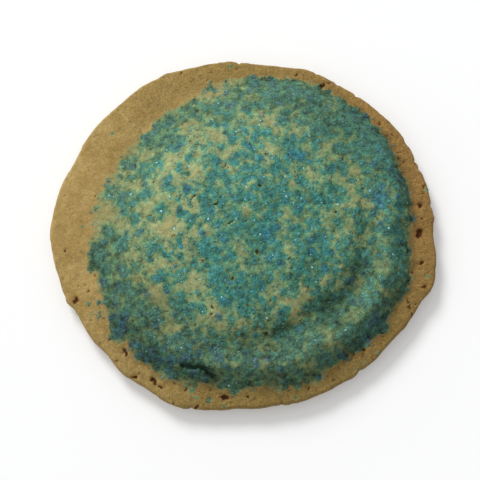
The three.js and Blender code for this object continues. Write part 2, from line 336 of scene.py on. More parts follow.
# Thin cracks between the sugar: x, y, length, width, direction, depth.
placedCracks = [
    (-4.2, 14, 0.7, 0.2, 65, 0.5), (3.8, 9.3, 0.6, 0.18, 0, 0.5), (-6.1, 5.3, 0.8, 0.22, 60, 0.5),
    (-5.3, 6.8, 0.7, 0.2, 55, 0.5), (-8.7, 9.7, 0.7, 0.22, 110, 0.5), (13, 12.7, 0.9, 0.18, 175, 0.5),
    (22.6, 16.2, 0.6, 0.24, 85, 0.5), (27.3, 9.6, 0.5, 0.2, 20, 0.5), (19.5, 24, 0.5, 0.2, 10, 0.4),
    (21.4, 24, 0.5, 0.2, 170, 0.4), (-7, -17.9, 0.6, 0.28, 80, 0.5), (-2.6, -11.6, 0.5, 0.26, 80, 0.5),
    (3, -5.7, 0.6, 0.2, 95, 0.5), (-11.2, 6.6, 0.9, 0.16, 40, 0.35), (-3.3, 0.8, 0.8, 0.22, 55, 0.5),
    (-19, 13.6, 0.4, 0.25, 100, 0.35), (-20.4, 11, 0.5, 0.25, 90, 0.35), (-20.9, 3.1, 0.5, 0.45, 0, 0.25),
    (-18, 2.9, 0.4, 0.2, 110, 0.5), (-22.2, -0.2, 0.6, 0.22, 100, 0.4), (-15.7, -1.8, 0.6, 0.16, 30, 0.4),
    (1.1, 12.1, 0.5, 0.18, 60, 0.4), (20.8, 3.8, 0.4, 0.35, 0, 0.45), (23.8, 3.3, 0.4, 0.25, 90, 0.4),
    (-2.5, 1.3, 0.4, 0.25, 90, 0.4), (10.5, -7, 0.7, 0.22, 165, 0.5), (0, -8.5, 0.5, 0.16, 95, 0.4),
    (-3.4, -13.7, 0.5, 0.2, 85, 0.45), (-7.2, -19.4, 0.4, 0.3, 0, 0.35), (-9.3, -7.6, 0.8, 0.18, 150, 0.45),
    (6.1, -16.3, 0.5, 0.25, 60, 0.35), (5.1, -23.4, 0.45, 0.4, 60, 0.4), (2.4, -20.2, 0.5, 0.2, 10, 0.4),
    (-10.9, -21.8, 0.5, 0.25, 30, 0.4), (2.2, -1.9, 0.5, 0.2, 100, 0.4),
]

# The fine ones, drawn at random.
finePores = {
    "count": 400, "mostAt": -45, "spread": 80, "size": (0.1, 0.26), "depth": 0.8,
    "inward": (0.6, 8), "furthestAt": 165, "furthestSpread": 60, "elsewhere": 0.55,
}
fineCracks = {"count": 60, "length": (0.3, 0.6), "width": 0.16, "turn": 110, "turnSpread": 40, "depth": 0.6}
poreSeed = 5


def drawPores():
    # Many fine pores on the rim, most at the front and right, and thin cracks between the sugar. They reach
    # further in on the wide rim at the back left.
    random = np.random.default_rng(poreSeed)
    count = finePores["count"]
    angle = random.normal(finePores["mostAt"], finePores["spread"], count) % 360
    furthest = bell(turnBetween(angle, finePores["furthestAt"]) / finePores["furthestSpread"])
    inward = random.uniform(*finePores["inward"], count) * blend(finePores["elsewhere"], 1, furthest)
    x, y = fromPolar(outlineRadius(angle) - inward, angle)
    width = random.uniform(*finePores["size"], count) * random.uniform(0.7, 1.5, count)
    length = width * random.uniform(1, 1.7, count)
    turn = random.uniform(0, 180, count)
    pores = np.stack([x, y, length, width, turn, width * finePores["depth"]], axis=1)

    count = fineCracks["count"]
    angle = random.uniform(0, 360, count)
    x, y = fromPolar(sugarRadius(angle) * np.sqrt(random.uniform(0, 1, count)), angle)
    length = random.uniform(*fineCracks["length"], count)
    width = np.full(count, fineCracks["width"])
    turn = random.normal(fineCracks["turn"], fineCracks["turnSpread"], count)
    cracks = np.stack([x, y, length, width, turn, length * fineCracks["depth"]], axis=1)
    return np.concatenate([np.array(placedPores + placedCracks, float), pores, cracks])


allPores = drawPores()

# All pores are this share of their listed size, and one this deep or deeper is painted wholly dark, as shade
# in the hole.
poreScale = 0.8
darkDepth = 0.45


def poreDepth(x, y):
    # Each pore is a long pit whose section is a bell across and a flatter one along, with a ragged border.
    # Gives their summed depth, and how far into a pore each point lies.
    depth, inside = np.zeros(np.shape(x)), np.zeros(np.shape(x))
    x = x + 0.3 * unevenness(x, y, 0, size=0.8, seed=61) + 0.2 * unevenness(x, y, 0, size=0.4, seed=63)
    y = y + 0.3 * unevenness(x, y, 0, size=0.8, seed=62) + 0.2 * unevenness(x, y, 0, size=0.4, seed=64)
    for px, py, length, width, turn, deep in allPores:
        length, width = length * poreScale, width * poreScale
        c, s = math.cos(math.radians(turn)), math.sin(math.radians(turn))
        near = np.hypot(x - px, y - py) < 2.5 * length
        dx, dy = x[near] - px, y[near] - py
        pit = np.exp(-((dx * c + dy * s) / length) ** 4 - ((dy * c - dx * s) / width) ** 2)
        depth[near] += deep * pit
        inside[near] = np.maximum(inside[near], pit * min(1, deep / darkDepth))
    return depth, inside


# Where the grains of sugar lie.
sugar = {
    "heapSpacing": 2.1,        # small heaps of grains lie about this far apart
    "heapWander": 0.8,         # how far a heap strays from an even layout
    "heapRadius": (0.5, 1.4),
    "room": 0.45,              # from a placed heap's border to the middle of the next heap
    "gap": 0.22,               # between neighbouring heaps, as a share of their radius
    "lobes": 0.3,              # how much a heap's border bulges and falls back
    "grainsPerArea": 3.4,      # grains to a square millimetre inside a heap
    "looseGrains": 1350,       # single grains between the heaps
    "largest": 0.95, "smallest": 0.32,
    "glintSize": (0.6, 0.95),
    "cell": 0.36,              # no two grains share a square of this size
    "fromFold": 0.45, "fromCrack": 0.5,
    "clearShare": 0.022,
    "blueAbove": 0.6,          # a lower number makes more of the grains blue
    "seed": 21,
}

# Where the sugar lies thicker or thinner: x, y, half-width, change.
thickness = [
    (30, 21, 10, 0.6), (20, 32, 8, 0.6), (35, 0, 5, 0.2), (-26, -25, 8, 0.6), (-12, -30, 7, 0.4),
    (33, -15, 7, 0.2), (-5, 30, 8, 0.2), (-18, 5, 5, -0.55), (-20, 12, 3, -0.2), (-18, -15, 3, -0.3),
    (2, -22, 4, -0.2), (13, 22, 4, -0.5), (2, 7, 9, 0.45), (-6, 21, 4, -0.5), (18, -6, 5, 0.35),
    (10, 34, 3, 0.4), (-24, -11, 4, 0.25), (25, 18, 5, -0.05), (21, -22, 3.5, -0.4), (29, 0, 3, -0.1),
    (-31, 0, 3, -0.1), (-17, -22, 3, -0.3), (9, -25, 4, -0.3), (-31, -8, 4, 0.8), (-15, 21, 6, -0.8),
    (5, 27.5, 3.5, -0.5), (10, 5, 4, 0.4), (18, 16.5, 4, -0.3), (-12, 21, 4, -0.1), (-31, 11, 3, 0.5),
    (-29, -3, 5, 0.15), (29, -21, 5, 0.5), (21, -28, 5, 0.3), (35, -11, 4, 0.5), (11, -33, 5, 0.3),
    (-2, -10, 4, 0.6), (10, 16, 3, 0.4), (-13, 10, 4, -0.1), (10, 34, 5, 0.4), (32, 20, 5, 0.5),
    (36, 4, 4, 0.7), (30, 14, 3, 0.3), (5, -4, 5, 0.4), (10, -11, 3.5, 0.2), (10, -17, 3, -0.3),
    (-18, -4, 5, -0.35), (-12, 0.5, 3, 0.4), (-1, -17, 3.5, 0.6), (21, 6, 4, -0.4), (-6, -22, 3, -0.4),
    (-22, 18, 5, -0.25), (-14, -28, 4, 0.4), (-3, -33, 4, 0.4), (-26, 4, 6, -1.4), (-22, 13, 4, -1),
    (-26, -6, 5, -1), (-31, 4, 4, -0.8), (-23, -21, 6, -0.9), (21, -18, 6, -0.4), (31, -18, 5, -0.5),
]

# Small places that stay bare between the heaps: x, y, half-width.
barePlaces = [
    (-7.4, 20.8, 1.7), (-16.7, 15.2, 1.5), (-20.6, 10.2, 1.3), (-18.5, 6.9, 1.5), (-22.3, 4.8, 1.7),
    (-17.4, 4.3, 1.6), (-17.4, 0.7, 1.6), (-14.4, 6.3, 1.2), (-11.4, 12.6, 1.2), (5.5, 24, 1), (8, 22.8, 1),
    (11.5, 22.5, 1.4), (14.5, 12.2, 1.8), (25.3, 12.3, 1.3), (17.7, 17.2, 1.2), (15.5, 4.8, 1.2),
    (23.3, 2.6, 1.5), (13.8, 2, 1.2), (18.8, 1.9, 1), (22, 11, 1.2), (27.5, 0, 1.3), (-0.7, -4.7, 1.2),
    (9.3, -4.3, 1.5), (-2.6, -12.3, 1.5), (-6.2, -9.2, 1.2), (-7.8, -3.8, 1), (-11.1, -13, 1.7),
    (-9.5, -15.6, 1.3), (-4.4, -19, 1.2), (0.4, -22, 2), (1.2, -17.5, 1.1), (7.8, -10.2, 1), (6.6, -15.5, 1),
    (11.9, -15.5, 1.4), (-8.5, -24, 1.3), (11.1, -8, 1.2), (-30.6, 6.9, 1.2), (-30.8, 5.1, 1.4),
    (-27.8, 3, 1), (-28.2, 0, 1), (-25.6, -2.6, 1), (-22.9, -2.3, 0.7), (-27.1, -6.1, 1.2),
    (-23.7, -5.8, 0.7), (-28.2, -11.1, 1), (-25.5, -10.7, 1.1), (-22.6, -11.1, 1.1), (-34.2, -12.5, 1.2),
    (-33.5, -9.8, 1.1), (-19.5, -7.4, 1), (-26.3, 11.1, 1.3), (-13.5, 24.2, 1), (-25, 17, 1.1),
    (-17.6, 18.6, 1.3), (-21.6, 18.8, 1.1), (-18.1, -16.1, 1.1), (-18.1, -19.1, 1.2), (-17.2, -22.1, 1.1),
    (-16.9, -27.4, 0.8), (-30.3, -18.5, 0.8), (-31.4, -19.3, 0.8), (-21, -13.2, 1), (-13.9, -19.5, 1),
    (-14.5, -22.5, 1.1), (25.7, -13.3, 1.1), (30, -12.2, 1), (25.1, -18.9, 1.2), (26.6, -18.4, 1),
    (23.5, -20.5, 0.9), (15.8, -20.2, 1), (17.6, -22.5, 0.9), (19, -27, 0.9), (12.4, -15.1, 1.1),
    (12.2, -17.1, 0.9),
]

# Heaps placed one by one, all over but for the back and the middle of the front: x, y, radius.
placedHeaps = [
    (-22, 21.3, 1.7), (-18, 21.3, 1.5), (-15.5, 18.4, 1.3), (-9.4, 17.9, 0.9), (-11, 18.9, 0.7),
    (-4.8, 19.1, 1.1), (-2.7, 20.1, 1.1), (-1.4, 22, 0.9), (-18.3, 14.8, 0.8), (-15.2, 13, 0.7),
    (-17.2, 10.8, 1.3), (-22.4, 13.2, 1.4), (-21, 11.9, 0.5), (-21.6, 8.1, 1.7), (-18.8, 4.4, 0.8),
    (-9.2, 13.9, 1.1), (-6.3, 11.4, 1.9), (-13.4, 8.2, 1.8), (-10.2, 9.4, 1.1), (-12.1, 10.5, 0.7),
    (-3.3, 8.2, 1.1), (-9.2, 5.5, 1.7), (-2.3, 15, 1.7), (-6.7, 7.7, 1.3), (-4.5, 5.7, 1.1),
    (-14.1, 3.7, 1.2), (-1.6, 2.9, 1.9), (-5.9, 0.5, 1.4), (-11.9, 1.9, 1), (-9.6, 0, 0.7),
    (-13.4, -1.4, 0.9), (-8.7, -2.2, 1.4), (-19.7, -0.6, 0.8), (-23.3, 15.7, 0.6), (-24.8, 17.7, 0.9),
    (-24, -0.6, 1), (-24.8, 3.2, 1.1), (-25.1, 6.3, 1), (-17.2, -2.5, 0.6), (-20.4, -3.9, 1),
    (-22.1, 1.7, 0.6), (-3.6, -2.6, 2), (0.5, 0.7, 1.2), (0.9, 6.9, 1.7), (0.5, 19.5, 0.8),
    (-18.5, 2.2, 0.6), (-11.5, -2.7, 0.8), (-30.6, 8.5, 1.2), (-32.7, 7, 0.5), (-27.4, 8, 1.8),
    (-27.2, 4.7, 1.5), (-30.5, 0.2, 1.5), (-31.6, -2.1, 1), (-26.6, -1.4, 1.1), (-28.2, -3.7, 1.9),
    (-31.2, -4.9, 1.4), (-34.7, -5.1, 0.9), (-34.2, -2.9, 0.7), (-24.2, -4.5, 0.8), (-20.8, -5.5, 1.5),
    (-18, -5.6, 1), (-30.8, -7.6, 1.1), (-28.5, -7.4, 0.8), (-25.5, -6.9, 0.5), (-27.2, -9.4, 1.1),
    (-23.3, -8.8, 1), (-31, -12, 1.3), (-18.7, -10.9, 1.9), (-17, -13.2, 1.1), (-28.5, -13.7, 1.3),
    (-25.9, -12.9, 1.3), (-22, -14.8, 1.2), (-30, -15.1, 0.8), (-24.8, -15.1, 1), (-0.1, 24.2, 1.3),
    (1.6, 25.1, 0.8), (8.7, 25.3, 1.9), (13.6, 24.8, 1.1), (4.9, 22.3, 1.3), (2.4, 20.3, 1),
    (4.3, 18.9, 1.1), (9, 19.1, 1.7), (14, 21.3, 1.1), (2.6, 16.2, 1.5), (7.2, 21.4, 0.5), (13.1, 16.9, 1.5),
    (16.6, 17.3, 0.8), (9.8, 15.7, 1.3), (17.5, 22.9, 1.5), (7.3, 12.7, 1.5), (10.3, 11.5, 0.8),
    (-0.7, 11.7, 1.5), (19.6, 14.1, 1.5), (12.7, 10.3, 1.5), (16.1, 10.5, 1), (19.4, 9.3, 1.5),
    (5, 10.5, 1.3), (8.6, 8.6, 1.7), (4.5, 7.7, 1), (5.9, 4.5, 1.5), (11.7, 4.5, 2), (17.1, 6.1, 1.7),
    (21.3, 6.1, 1.1), (4.3, 1.5, 1.5), (10.1, 1.3, 1), (16.5, 1.5, 1.5), (21, 1.2, 1.3), (23.8, 6.3, 0.9),
    (23.6, 12.4, 1.3), (21.2, 18.5, 1.5), (23.4, 22.7, 1.5), (20, 26.1, 1.5), (-8.3, -5.6, 1.8),
    (-10.6, -8.6, 1.6), (-2.9, -6.7, 1.6), (0.9, -3.9, 1.3), (6, -2.4, 1.9), (9.4, -2.3, 0.9),
    (12.5, -3.1, 1.9), (6.8, -6.7, 2.2), (-2.5, -9.3, 1.1), (1.2, -7.9, 1.1), (12.3, -9.6, 1.7),
    (-7.3, -11.7, 1.7), (-4.6, -12, 1), (5.1, -11.3, 1.9), (-0.3, -12, 1.5), (10.1, -14.4, 1.9),
    (-1.1, -14.6, 1.3), (2.2, -14.6, 1.3), (-2.9, -16.7, 0.9), (-5.1, -16.5, 1), (-7.2, -15.1, 1.1),
    (-0.6, -18, 1.4), (5.1, -17.7, 1.7), (2.2, -18.7, 1), (-9.5, -18.9, 1.3), (-11.8, -17.5, 1),
    (-5.9, -19.9, 1), (14, -17.7, 1.5), (8.5, -20.5, 1.1), (-6.7, -23, 1.2), (0, -23.7, 1.3),
    (-10.5, -25, 1.1), (12.5, -22.9, 2), (23.9, 11.5, 1.1), (27.8, 10.9, 1), (25.4, 20.1, 1.5),
    (27.5, 15.3, 1.3), (27.7, 18.5, 1), (24.6, 3.2, 0.9), (26.6, 4, 1.1), (25.7, 0, 1.3), (21.6, 0.4, 1),
    (17.5, -2.4, 1.5), (31.2, 0.8, 1), (34.2, 0, 0.8), (34.8, 1.8, 0.9), (26.8, -5, 1.4), (30.5, -6.3, 0.9),
    (28.8, -2.9, 0.9), (33, -10, 0.9), (36.3, -8, 1), (35.3, 8, 1.4), (37.4, -3.5, 0.9), (-28.2, 10.2, 0.9),
    (-22.7, 10.4, 0.8), (-32.6, 0.9, 0.7), (-35.1, -8.4, 0.9), (31, 6.8, 2.2), (-17, 26.5, 1.4),
    (-18.1, 25.3, 0.9), (-20.6, 23.6, 1.4), (-22.9, 20.2, 1.1), (-15, 21, 1.1), (-13.7, 21.3, 0.9),
    (-11.6, 22.8, 0.9), (-9.3, 25.8, 1.6), (-7.9, 24.4, 0.9), (-6.1, 23.6, 0.7), (-12.9, 19.8, 0.7),
    (-7.8, 19.3, 0.9), (-7, 16.2, 1.1), (-8.9, 15.3, 1.4), (-6.5, 15, 0.9), (-11.8, 16.2, 0.7),
    (-19.9, 15.5, 0.9), (-26, 15.8, 1), (-27.5, 15.3, 0.6), (-25.1, 12.7, 1), (-14.8, 14.6, 0.7),
    (-17.9, 9.4, 0.7), (-15.9, 8.5, 0.8), (-4, 12.9, 0.9), (-7.4, 3.7, 0.9), (-9.2, 2.6, 0.9),
    (-23.2, -16.2, 0.9), (-25.5, -17.5, 1.4), (-29, -18.9, 0.9), (-26.5, -18.9, 0.9), (-22.9, -18.5, 1.4),
    (-19.4, -18.4, 0.9), (-15.5, -16.2, 1.4), (-13.8, -14.5, 0.9), (-15.5, -19.2, 0.9), (-12.8, -18.5, 0.9),
    (-28.1, -22.1, 2), (-29.6, -23.5, 1.4), (-24.8, -22.5, 1.1), (-22.6, -20.8, 1.1), (-19.7, -20.9, 1.6),
    (-20.7, -24.4, 1.1), (-17.8, -24.1, 1.1), (-22.9, -26.1, 1.6), (-23.6, -28.1, 1.1), (-20.1, -27.7, 1.6),
    (-18.7, -29, 1.1), (-15.8, -25.4, 1.4), (-14.2, -24.4, 1.4), (-14.9, -27.4, 1.4), (-12.8, -28.7, 1.6),
    (-16.2, -29.3, 1.1), (-19.7, -30.3, 1.1), (-16.2, -31.9, 1.4), (-13.5, -31.9, 1.4), (-18.7, -32.8, 0.9),
    (-34.8, -15.9, 0.6), (-33, -19.1, 0.7), (23, -12.2, 1.4), (19.3, -12.2, 1.1), (17.1, -14.5, 1.4),
    (13.5, -17.7, 1.1), (20.5, -15.6, 1.6), (18.1, -18.9, 1.8), (27.1, -15.9, 1.8), (28, -12.9, 1.4),
    (32.9, -16.1, 1.4), (30, -19.8, 1.4), (32.9, -19.5, 1.1), (28.9, -22.1, 1.8), (24.2, -22.5, 1.6),
    (26.6, -25.1, 1.8), (19.6, -20.5, 1.4), (15.3, -21.4, 1.4), (17.1, -25.1, 1.4), (12.9, -24.4, 1.4),
    (20.3, -25.1, 0.9), (20.9, -26.7, 0.9), (13.8, -29.7, 1.4), (16.7, -30.3, 1.1), (19.6, -29, 1.4),
    (22.6, -28.3, 1.4), (-32.1, -17.9, 1), (-31.4, -19.6, 0.7), (-34.3, -18.4, 0.5),
]

# Where blue grains gather: x, y, half-width, strength.
blueGroups = [
    (31, 6.8, 2.3, 4), (6.1, -1.5, 1.8, 1.8), (6.9, -5.9, 1.8, 1.8), (-3.4, 9.3, 1, 2.4),
    (-17.6, 11.6, 1.2, 1.6), (-21.8, 8.5, 1.2, 1.6), (-13.7, 9, 1.2, 1.2), (-8.9, -1.3, 1, 1.5),
    (-8.5, -4.8, 1.5, 1), (-7.3, -11.1, 0.9, 1.6), (-4.9, -11.2, 0.8, 1.5), (-3, -16.4, 0.8, 2.2),
    (-10.6, -25.2, 1.1, 3.6), (31.1, -5.9, 0.8, 1.6), (30.5, -19.5, 1.2, 1.6), (33.5, -17.5, 1.2, 1.6),
    (-20.6, -24.3, 1.1, 2.8), (-12.8, -28.6, 1.5, 1.4), (-31.3, -11.8, 1.3, 1.4), (-31.1, -7.4, 1, 1.3),
    (-22.2, -14.6, 1.2, 1.2), (19.8, 10.1, 1.2, 1.2), (-11, -26, 5, 0.8), (-24, -27, 5, 1.1),
    (-29, -18, 4, 1), (-16, -31, 5, 0.9), (28, 18, 5, 0.4), (33, 21, 4, 1), (37, 3, 4, 0.6),
    (32, -22, 3, 0.6), (25, 28, 4, 0.9), (8, 33, 6, 0.8), (-2, 29, 6, 0.5), (-19.5, -21, 1.1, 3),
    (-23.4, -27.8, 1.2, 2.8), (-20.1, -27.7, 1.3, 1.2), (-28, -22, 1.5, 1), (30, -20, 1.2, 1.2),
    (-29.3, -15.9, 1, 2), (-28.5, -18, 1, 1.5), (-31, -2.5, 1.2, 1.5),
]

# Where dye has run together and is darkest, partly dark dye and partly painted shade, as on the steep
# shoulder at the right: x, y, half-width, strength.
poolsAndShade = [
    (-26, -24.5, 5, 0.8), (-20, -28, 4.5, 0.7), (-30, -19, 4, 0.6), (-12, -30.5, 3.5, 0.8),
    (-6, -33.5, 3, 0.7), (19, -17.5, 3.2, 0.4), (10, -21.5, 3, 0.1), (25.5, -8, 3, 0.25),
    (-1, -24.5, 4, 0.1), (6, -24.5, 4, 0.05), (-20, -20, 8, 0.35), (5, -30, 9, 0.5), (23, -20, 6, 0.35),
    (30, -8, 5, 0.12), (33, 13, 4.5, 0.35), (26, 27, 4, 0.4), (-15, 26, 5, 0.35), (-31, -8, 5, 0.5),
    (-21, 20, 4, 0.2), (-27, 5, 4, 0.25), (15, 30, 5, 0.2), (-6, 33, 5, 0.35), (5, 34, 5, 0.3),
    (15, 33, 5, 0.2), (16, -27, 5, 0.1), (-8, -27, 4, 0.4), (30, 24, 4, 0.3), (36.5, 11.5, 3, 0.3),
    (32.5, 5, 3, 0.05), (37.5, -5, 3, 0.3), (32.5, 12, 5, 0.2), (-33, -4, 4, 0.4), (-34, -9, 4, 0.3),
    (-6, 27, 3, 0.4),
]

# Where more or less dye has seeped between the grains: x, y, half-width, change.
dyeShifts = [
    (32, 22, 4, 0.2), (32, -22, 4, 0.22), (-22.5, 22.5, 4, 0.12), (5, -6, 4, 0.12), (37.5, -3, 4, 0.16),
    (9, 33.5, 5, 0.15), (-1, 33, 5, 0.15), (-33.5, 0, 4, -0.12), (27, 11, 4, -0.05), (-11.5, 5, 4, -0.12),
    (-17, -6, 4, -0.08), (32, 0, 3, -0.08), (6, -24, 5, 0.03), (24, -26, 5, 0.08), (12, -29, 5, -0.06),
    (-6, 5.5, 4, 0.08), (10, 16, 4, 0.12), (14, 7, 4, 0.1), (21, 7, 4, 0.14), (26, 5.4, 3, -0.08),
    (-1, 0, 4, 0.08), (-1, -16, 4, 0.1), (-17, 7, 4, 0.08), (-22, -3, 4, 0.08), (-5, 33, 5, -0.14),
    (26, -19, 4, 0.08), (34.5, 16, 3, 0.2), (37, 11, 3, 0.2), (31.5, -21.5, 3.5, 0.12),
    (27, 27.5, 3.5, 0.15), (32.5, 22.5, 4, 0.08), (21.5, -11, 3, -0.1), (10, -17, 3, -0.1),
    (-22, 9, 8, 0.05), (15.6, -12, 3, -0.08), (21, -24, 3, -0.05), (15.6, 22, 3, -0.08),
    (10, 27.5, 3, -0.06), (23, 27.5, 3, 0.08), (29, 22, 4, 0.06), (37.5, -3, 3, 0.08), (-6, 33, 3, -0.12),
    (-14, 20, 6, 0.04), (31.5, -21.5, 3, 0.08), (0, 4, 10, -0.025), (-18.5, 8.5, 3, -0.08),
    (-8, 14, 4, -0.05), (-33, -6, 3, 0.12), (31, -10, 4, 0.05), (-17, 26.5, 3, 0.12), (-22, 21.5, 3, 0.08),
    (-33, -11, 3, 0.1), (-31, 0, 4, 0.07), (12, 33, 4, 0.08), (24, 27.5, 4, 0.08), (29, 22, 4, 0.06),
    (-6, -22, 3, -0.06), (13, -23, 4, -0.06), (26.5, 16, 3, -0.06), (7.4, -22.4, 3.5, -0.05),
    (21, -28, 3, -0.07), (16, 5, 2.5, -0.08), (-17, 10.5, 2.5, 0.12), (-22.5, 10.5, 2.5, -0.07),
    (-34, -9, 3, 0.12), (10.3, -11.7, 3, 0.06), (-22.5, -0.5, 3, 0.08), (24, -17, 4, 0.06),
    (3.8, -30.3, 4, -0.05), (34.5, 2, 3.5, -0.04),
]

# Single grains that rolled onto the plain rim: x, y.
strayGrains = [
    (-3, 39.2), (-30.1, 23.2), (41.9, 10.2), (-36.7, 1.5), (41.9, -10), (30.3, -27.2), (27.1, -29.5),
    (25.5, -30.8), (-7.8, -37.6), (-7.9, -38.3), (-4.3, -39.4), (-10.7, -37.4), (11.6, -37.4),
    (-11.5, -35.6), (-11.7, -36.2),
]

# The whitest crystals, whose pale colour is partly a painted glint: x, y.
glints = [
    (-3.3, -34.8), (-1.6, -34.2), (-1.1, -27.6), (-6.4, -27.6), (-19.9, -24.3), (-7, 25.4), (-12.3, 14),
    (-25.6, 8.5), (-25.1, 9), (-15.6, -0.2), (-7.9, 1.8), (-1.6, 1.7), (-33, 2.3), (9.6, 7), (37.3, 6.8),
    (5.2, -20.2), (22.8, -22.8), (16, -25), (-17.4, 18.6), (-21.8, -27.3), (-18.5, 3.9), (28.6, 9),
]


def onSugar(x, y, random, border):
    # Whether each place is sugared: inside the sugar's radius, less an uneven border.
    wander = border * (random.uniform(-1, 0.35, len(x)) + 0.5 * unevenness(x, y, 0, size=4, seed=32))
    return np.hypot(x, y) < grainBorder(angleOf(x, y)) + wander


def bareAt(x, y):
    return gatherAt([(*place, 1) for place in barePlaces], x, y)


def layHeaps(random):
    # The heaps' middles and radii. A lattice of even triangles has its points moved at random, and loses
    # those where the sugar is thin, where a place stays bare and where a placed heap leaves no room.
    step, wander = sugar["heapSpacing"], sugar["heapWander"]
    side = np.arange(-30, 31)
    i, j = (axis.ravel() for axis in np.meshgrid(side, side))
    x = (i + 0.5 * (j % 2)) * step + random.normal(0, 0.6, len(i)) * wander
    y = j * step * math.sqrt(0.75) + random.normal(0, 0.6, len(i)) * wander
    patchy = 0.25 * unevenness(x, y, 0, size=5, seed=31)
    wanted = 0.8 + 0.5 * gatherAt(thickness, x, y) + patchy - bareAt(x, y)
    kept = onSugar(x, y, random, 0.7) & (random.uniform(0, 1, len(x)) < 1.25 * wanted)
    radius = blend(*sugar["heapRadius"], random.beta(2.4, 2.6, len(x)))
    radius *= np.clip(0.4 + 0.75 * wanted, 0.6, 1.3)
    placed = np.array(placedHeaps, float)
    room = np.hypot(x[:, None] - placed[:, 0], y[:, None] - placed[:, 1]) - placed[:, 2]
    kept &= room.min(axis=1) > sugar["room"]
    lattice = np.stack([x[kept], y[kept], radius[kept]], axis=1)
    return np.concatenate([lattice, placed]).T


def fillHeaps(random, x, y, radius):
    # Each heap is a disc of grains with three lobes. A grain that lies about as near to another heap is left
    # out, so that a thin gap stays between the two.
    count = random.poisson(sugar["grainsPerArea"] * math.pi * radius ** 2)
    turn = random.uniform(0, 2 * math.pi, count.sum())
    reach = np.sqrt(random.uniform(0, 1, count.sum())) * np.repeat(radius, count)
    reach *= 1 + sugar["lobes"] * np.sin(3 * turn + np.repeat(random.uniform(0, 6, len(x)), count))
    gx = np.repeat(x, count) + reach * np.cos(turn)
    gy = np.repeat(y, count) + reach * np.sin(turn)
    distances = np.hypot(gx[:, None] - x, gy[:, None] - y) / radius
    own = distances[np.arange(len(gx)), np.repeat(np.arange(len(x)), count)]
    nearest, second = np.sort(distances, axis=1)[:, :2].T
    apart = (own < nearest + 1e-9) & (second - nearest > sugar["gap"])
    return gx[apart], gy[apart]


def scatterGrains():
    # Heaps of grains with loose grains between them, thinned to one grain in each small square, with none in
    # the fold or on a crack; then the glints and the stray grains. Gives each grain's place, size and kind.
    random = np.random.default_rng(sugar["seed"])
    gx, gy = fillHeaps(random, *layHeaps(random))

    loose = sugar["looseGrains"]
    lx = random.uniform(-45, 45, 3 * loose)
    ly = random.uniform(-45, 45, 3 * loose)
    covered = random.uniform(0, 1, len(lx)) > 0.8 * bareAt(lx, ly) - 0.3 * gatherAt(thickness, lx, ly)
    chosen = np.flatnonzero(onSugar(lx, ly, random, 2.2) & covered)[:loose]
    gx, gy = np.concatenate([gx, lx[chosen]]), np.concatenate([gy, ly[chosen]])

    cells = np.floor(np.stack([gx, gy], axis=1) / sugar["cell"]).astype(int)
    single = np.unique(cells, axis=0, return_index=True)[1]
    single = single[foldDistance(gx[single], gy[single]) > sugar["fromFold"]]
    crackX, crackY = np.array(placedCracks, float)[:, :2].T
    fromCracks = np.hypot(gx[single][:, None] - crackX, gy[single][:, None] - crackY).min(axis=1)
    single = single[fromCracks > sugar["fromCrack"]]

    placed = np.array(glints + strayGrains, float)
    gx = np.concatenate([gx[single], placed[:, 0]])
    gy = np.concatenate([gy[single], placed[:, 1]])
    size = blend(sugar["smallest"], sugar["largest"], random.beta(1.6, 3.4, len(gx)))
    glinting = slice(len(single), len(single) + len(glints))
    size[glinting] = random.uniform(*sugar["glintSize"], len(glints))

    blueness = 0.4 * gatherAt(blueGroups, gx, gy) + 0.9 * unevenness(gx, gy, 0, size=1.4, seed=33)
    isClear = random.uniform(0, 1, len(gx)) < sugar["clearShare"]
    isClear[glinting] = True
    return gx, gy, size, (blueness > sugar["blueAbove"]) & ~isClear, isClear


grainX, grainY, grainSize, grainIsBlue, grainIsClear = scatterGrains()

# How much dye each grain gives off, very uneven from grain to grain. The stray grains give off the same.
strayStain = 1.5
grainStain = grainSize ** 2 * np.random.default_rng(sugar["seed"] + 1).gamma(2.5, 0.48, len(grainX))
grainStain[-len(strayGrains):] = strayStain
print(len(grainX), "grains of sugar,", int(grainIsBlue.sum()), "blue,", int(grainIsClear.sum()), "clear")

# A square map of the top, on which colour that seeped from the grains is spread, near to them and far.
stainMap = {"half": 46, "cell": 0.2, "near": 0.38, "far": 1.2}


def seepedColour(x, y, weights, spread):
    # Grains are dropped on the map and blurred by a bell of this spread, with Fourier transforms.
    side = int(2 * stainMap["half"] / stainMap["cell"])
    cells = np.zeros((side, side))
    column = ((grainX + stainMap["half"]) / stainMap["cell"]).astype(int)
    row = ((grainY + stainMap["half"]) / stainMap["cell"]).astype(int)
    np.add.at(cells, (column, row), weights)
    fx, fy = np.fft.fftfreq(side)[:, None], np.fft.rfftfreq(side)[None, :]
    blur = np.exp(-2 * (math.pi * spread / stainMap["cell"]) ** 2 * (fx ** 2 + fy ** 2))
    cells = np.fft.irfft2(np.fft.rfft2(cells) * blur, s=(side, side)) / stainMap["cell"] ** 2

    u = np.clip((x + stainMap["half"]) / stainMap["cell"] - 0.5, 0, side - 1.001)
    v = np.clip((y + stainMap["half"]) / stainMap["cell"] - 0.5, 0, side - 1.001)
    i, j = u.astype(int), v.astype(int)
    a = blend(cells[i, j], cells[i + 1, j], u - i)
    b = blend(cells[i, j + 1], cells[i + 1, j + 1], u - i)
    return blend(a, b, v - j)


# The sugar's border wanders, less so on the right: size across and reach of the bends.
borderBends = [(2.2, 0.9), (0.9, 0.5)]
straightBorder = {"at": 20, "spread": 40, "share": 0.65}


def insideSugar(x, y):
    # Distance inwards from the sugar's uneven border.
    angle = angleOf(x, y)
    wander = sum(reach * unevenness(x, y, 0, size, 35 + i) for i, (size, reach) in enumerate(borderBends))
    straight = bell(turnBetween(angle, straightBorder["at"]) / straightBorder["spread"])
    return grainBorder(angle) - np.hypot(x, y) + wander * (1 - straightBorder["share"] * straight)


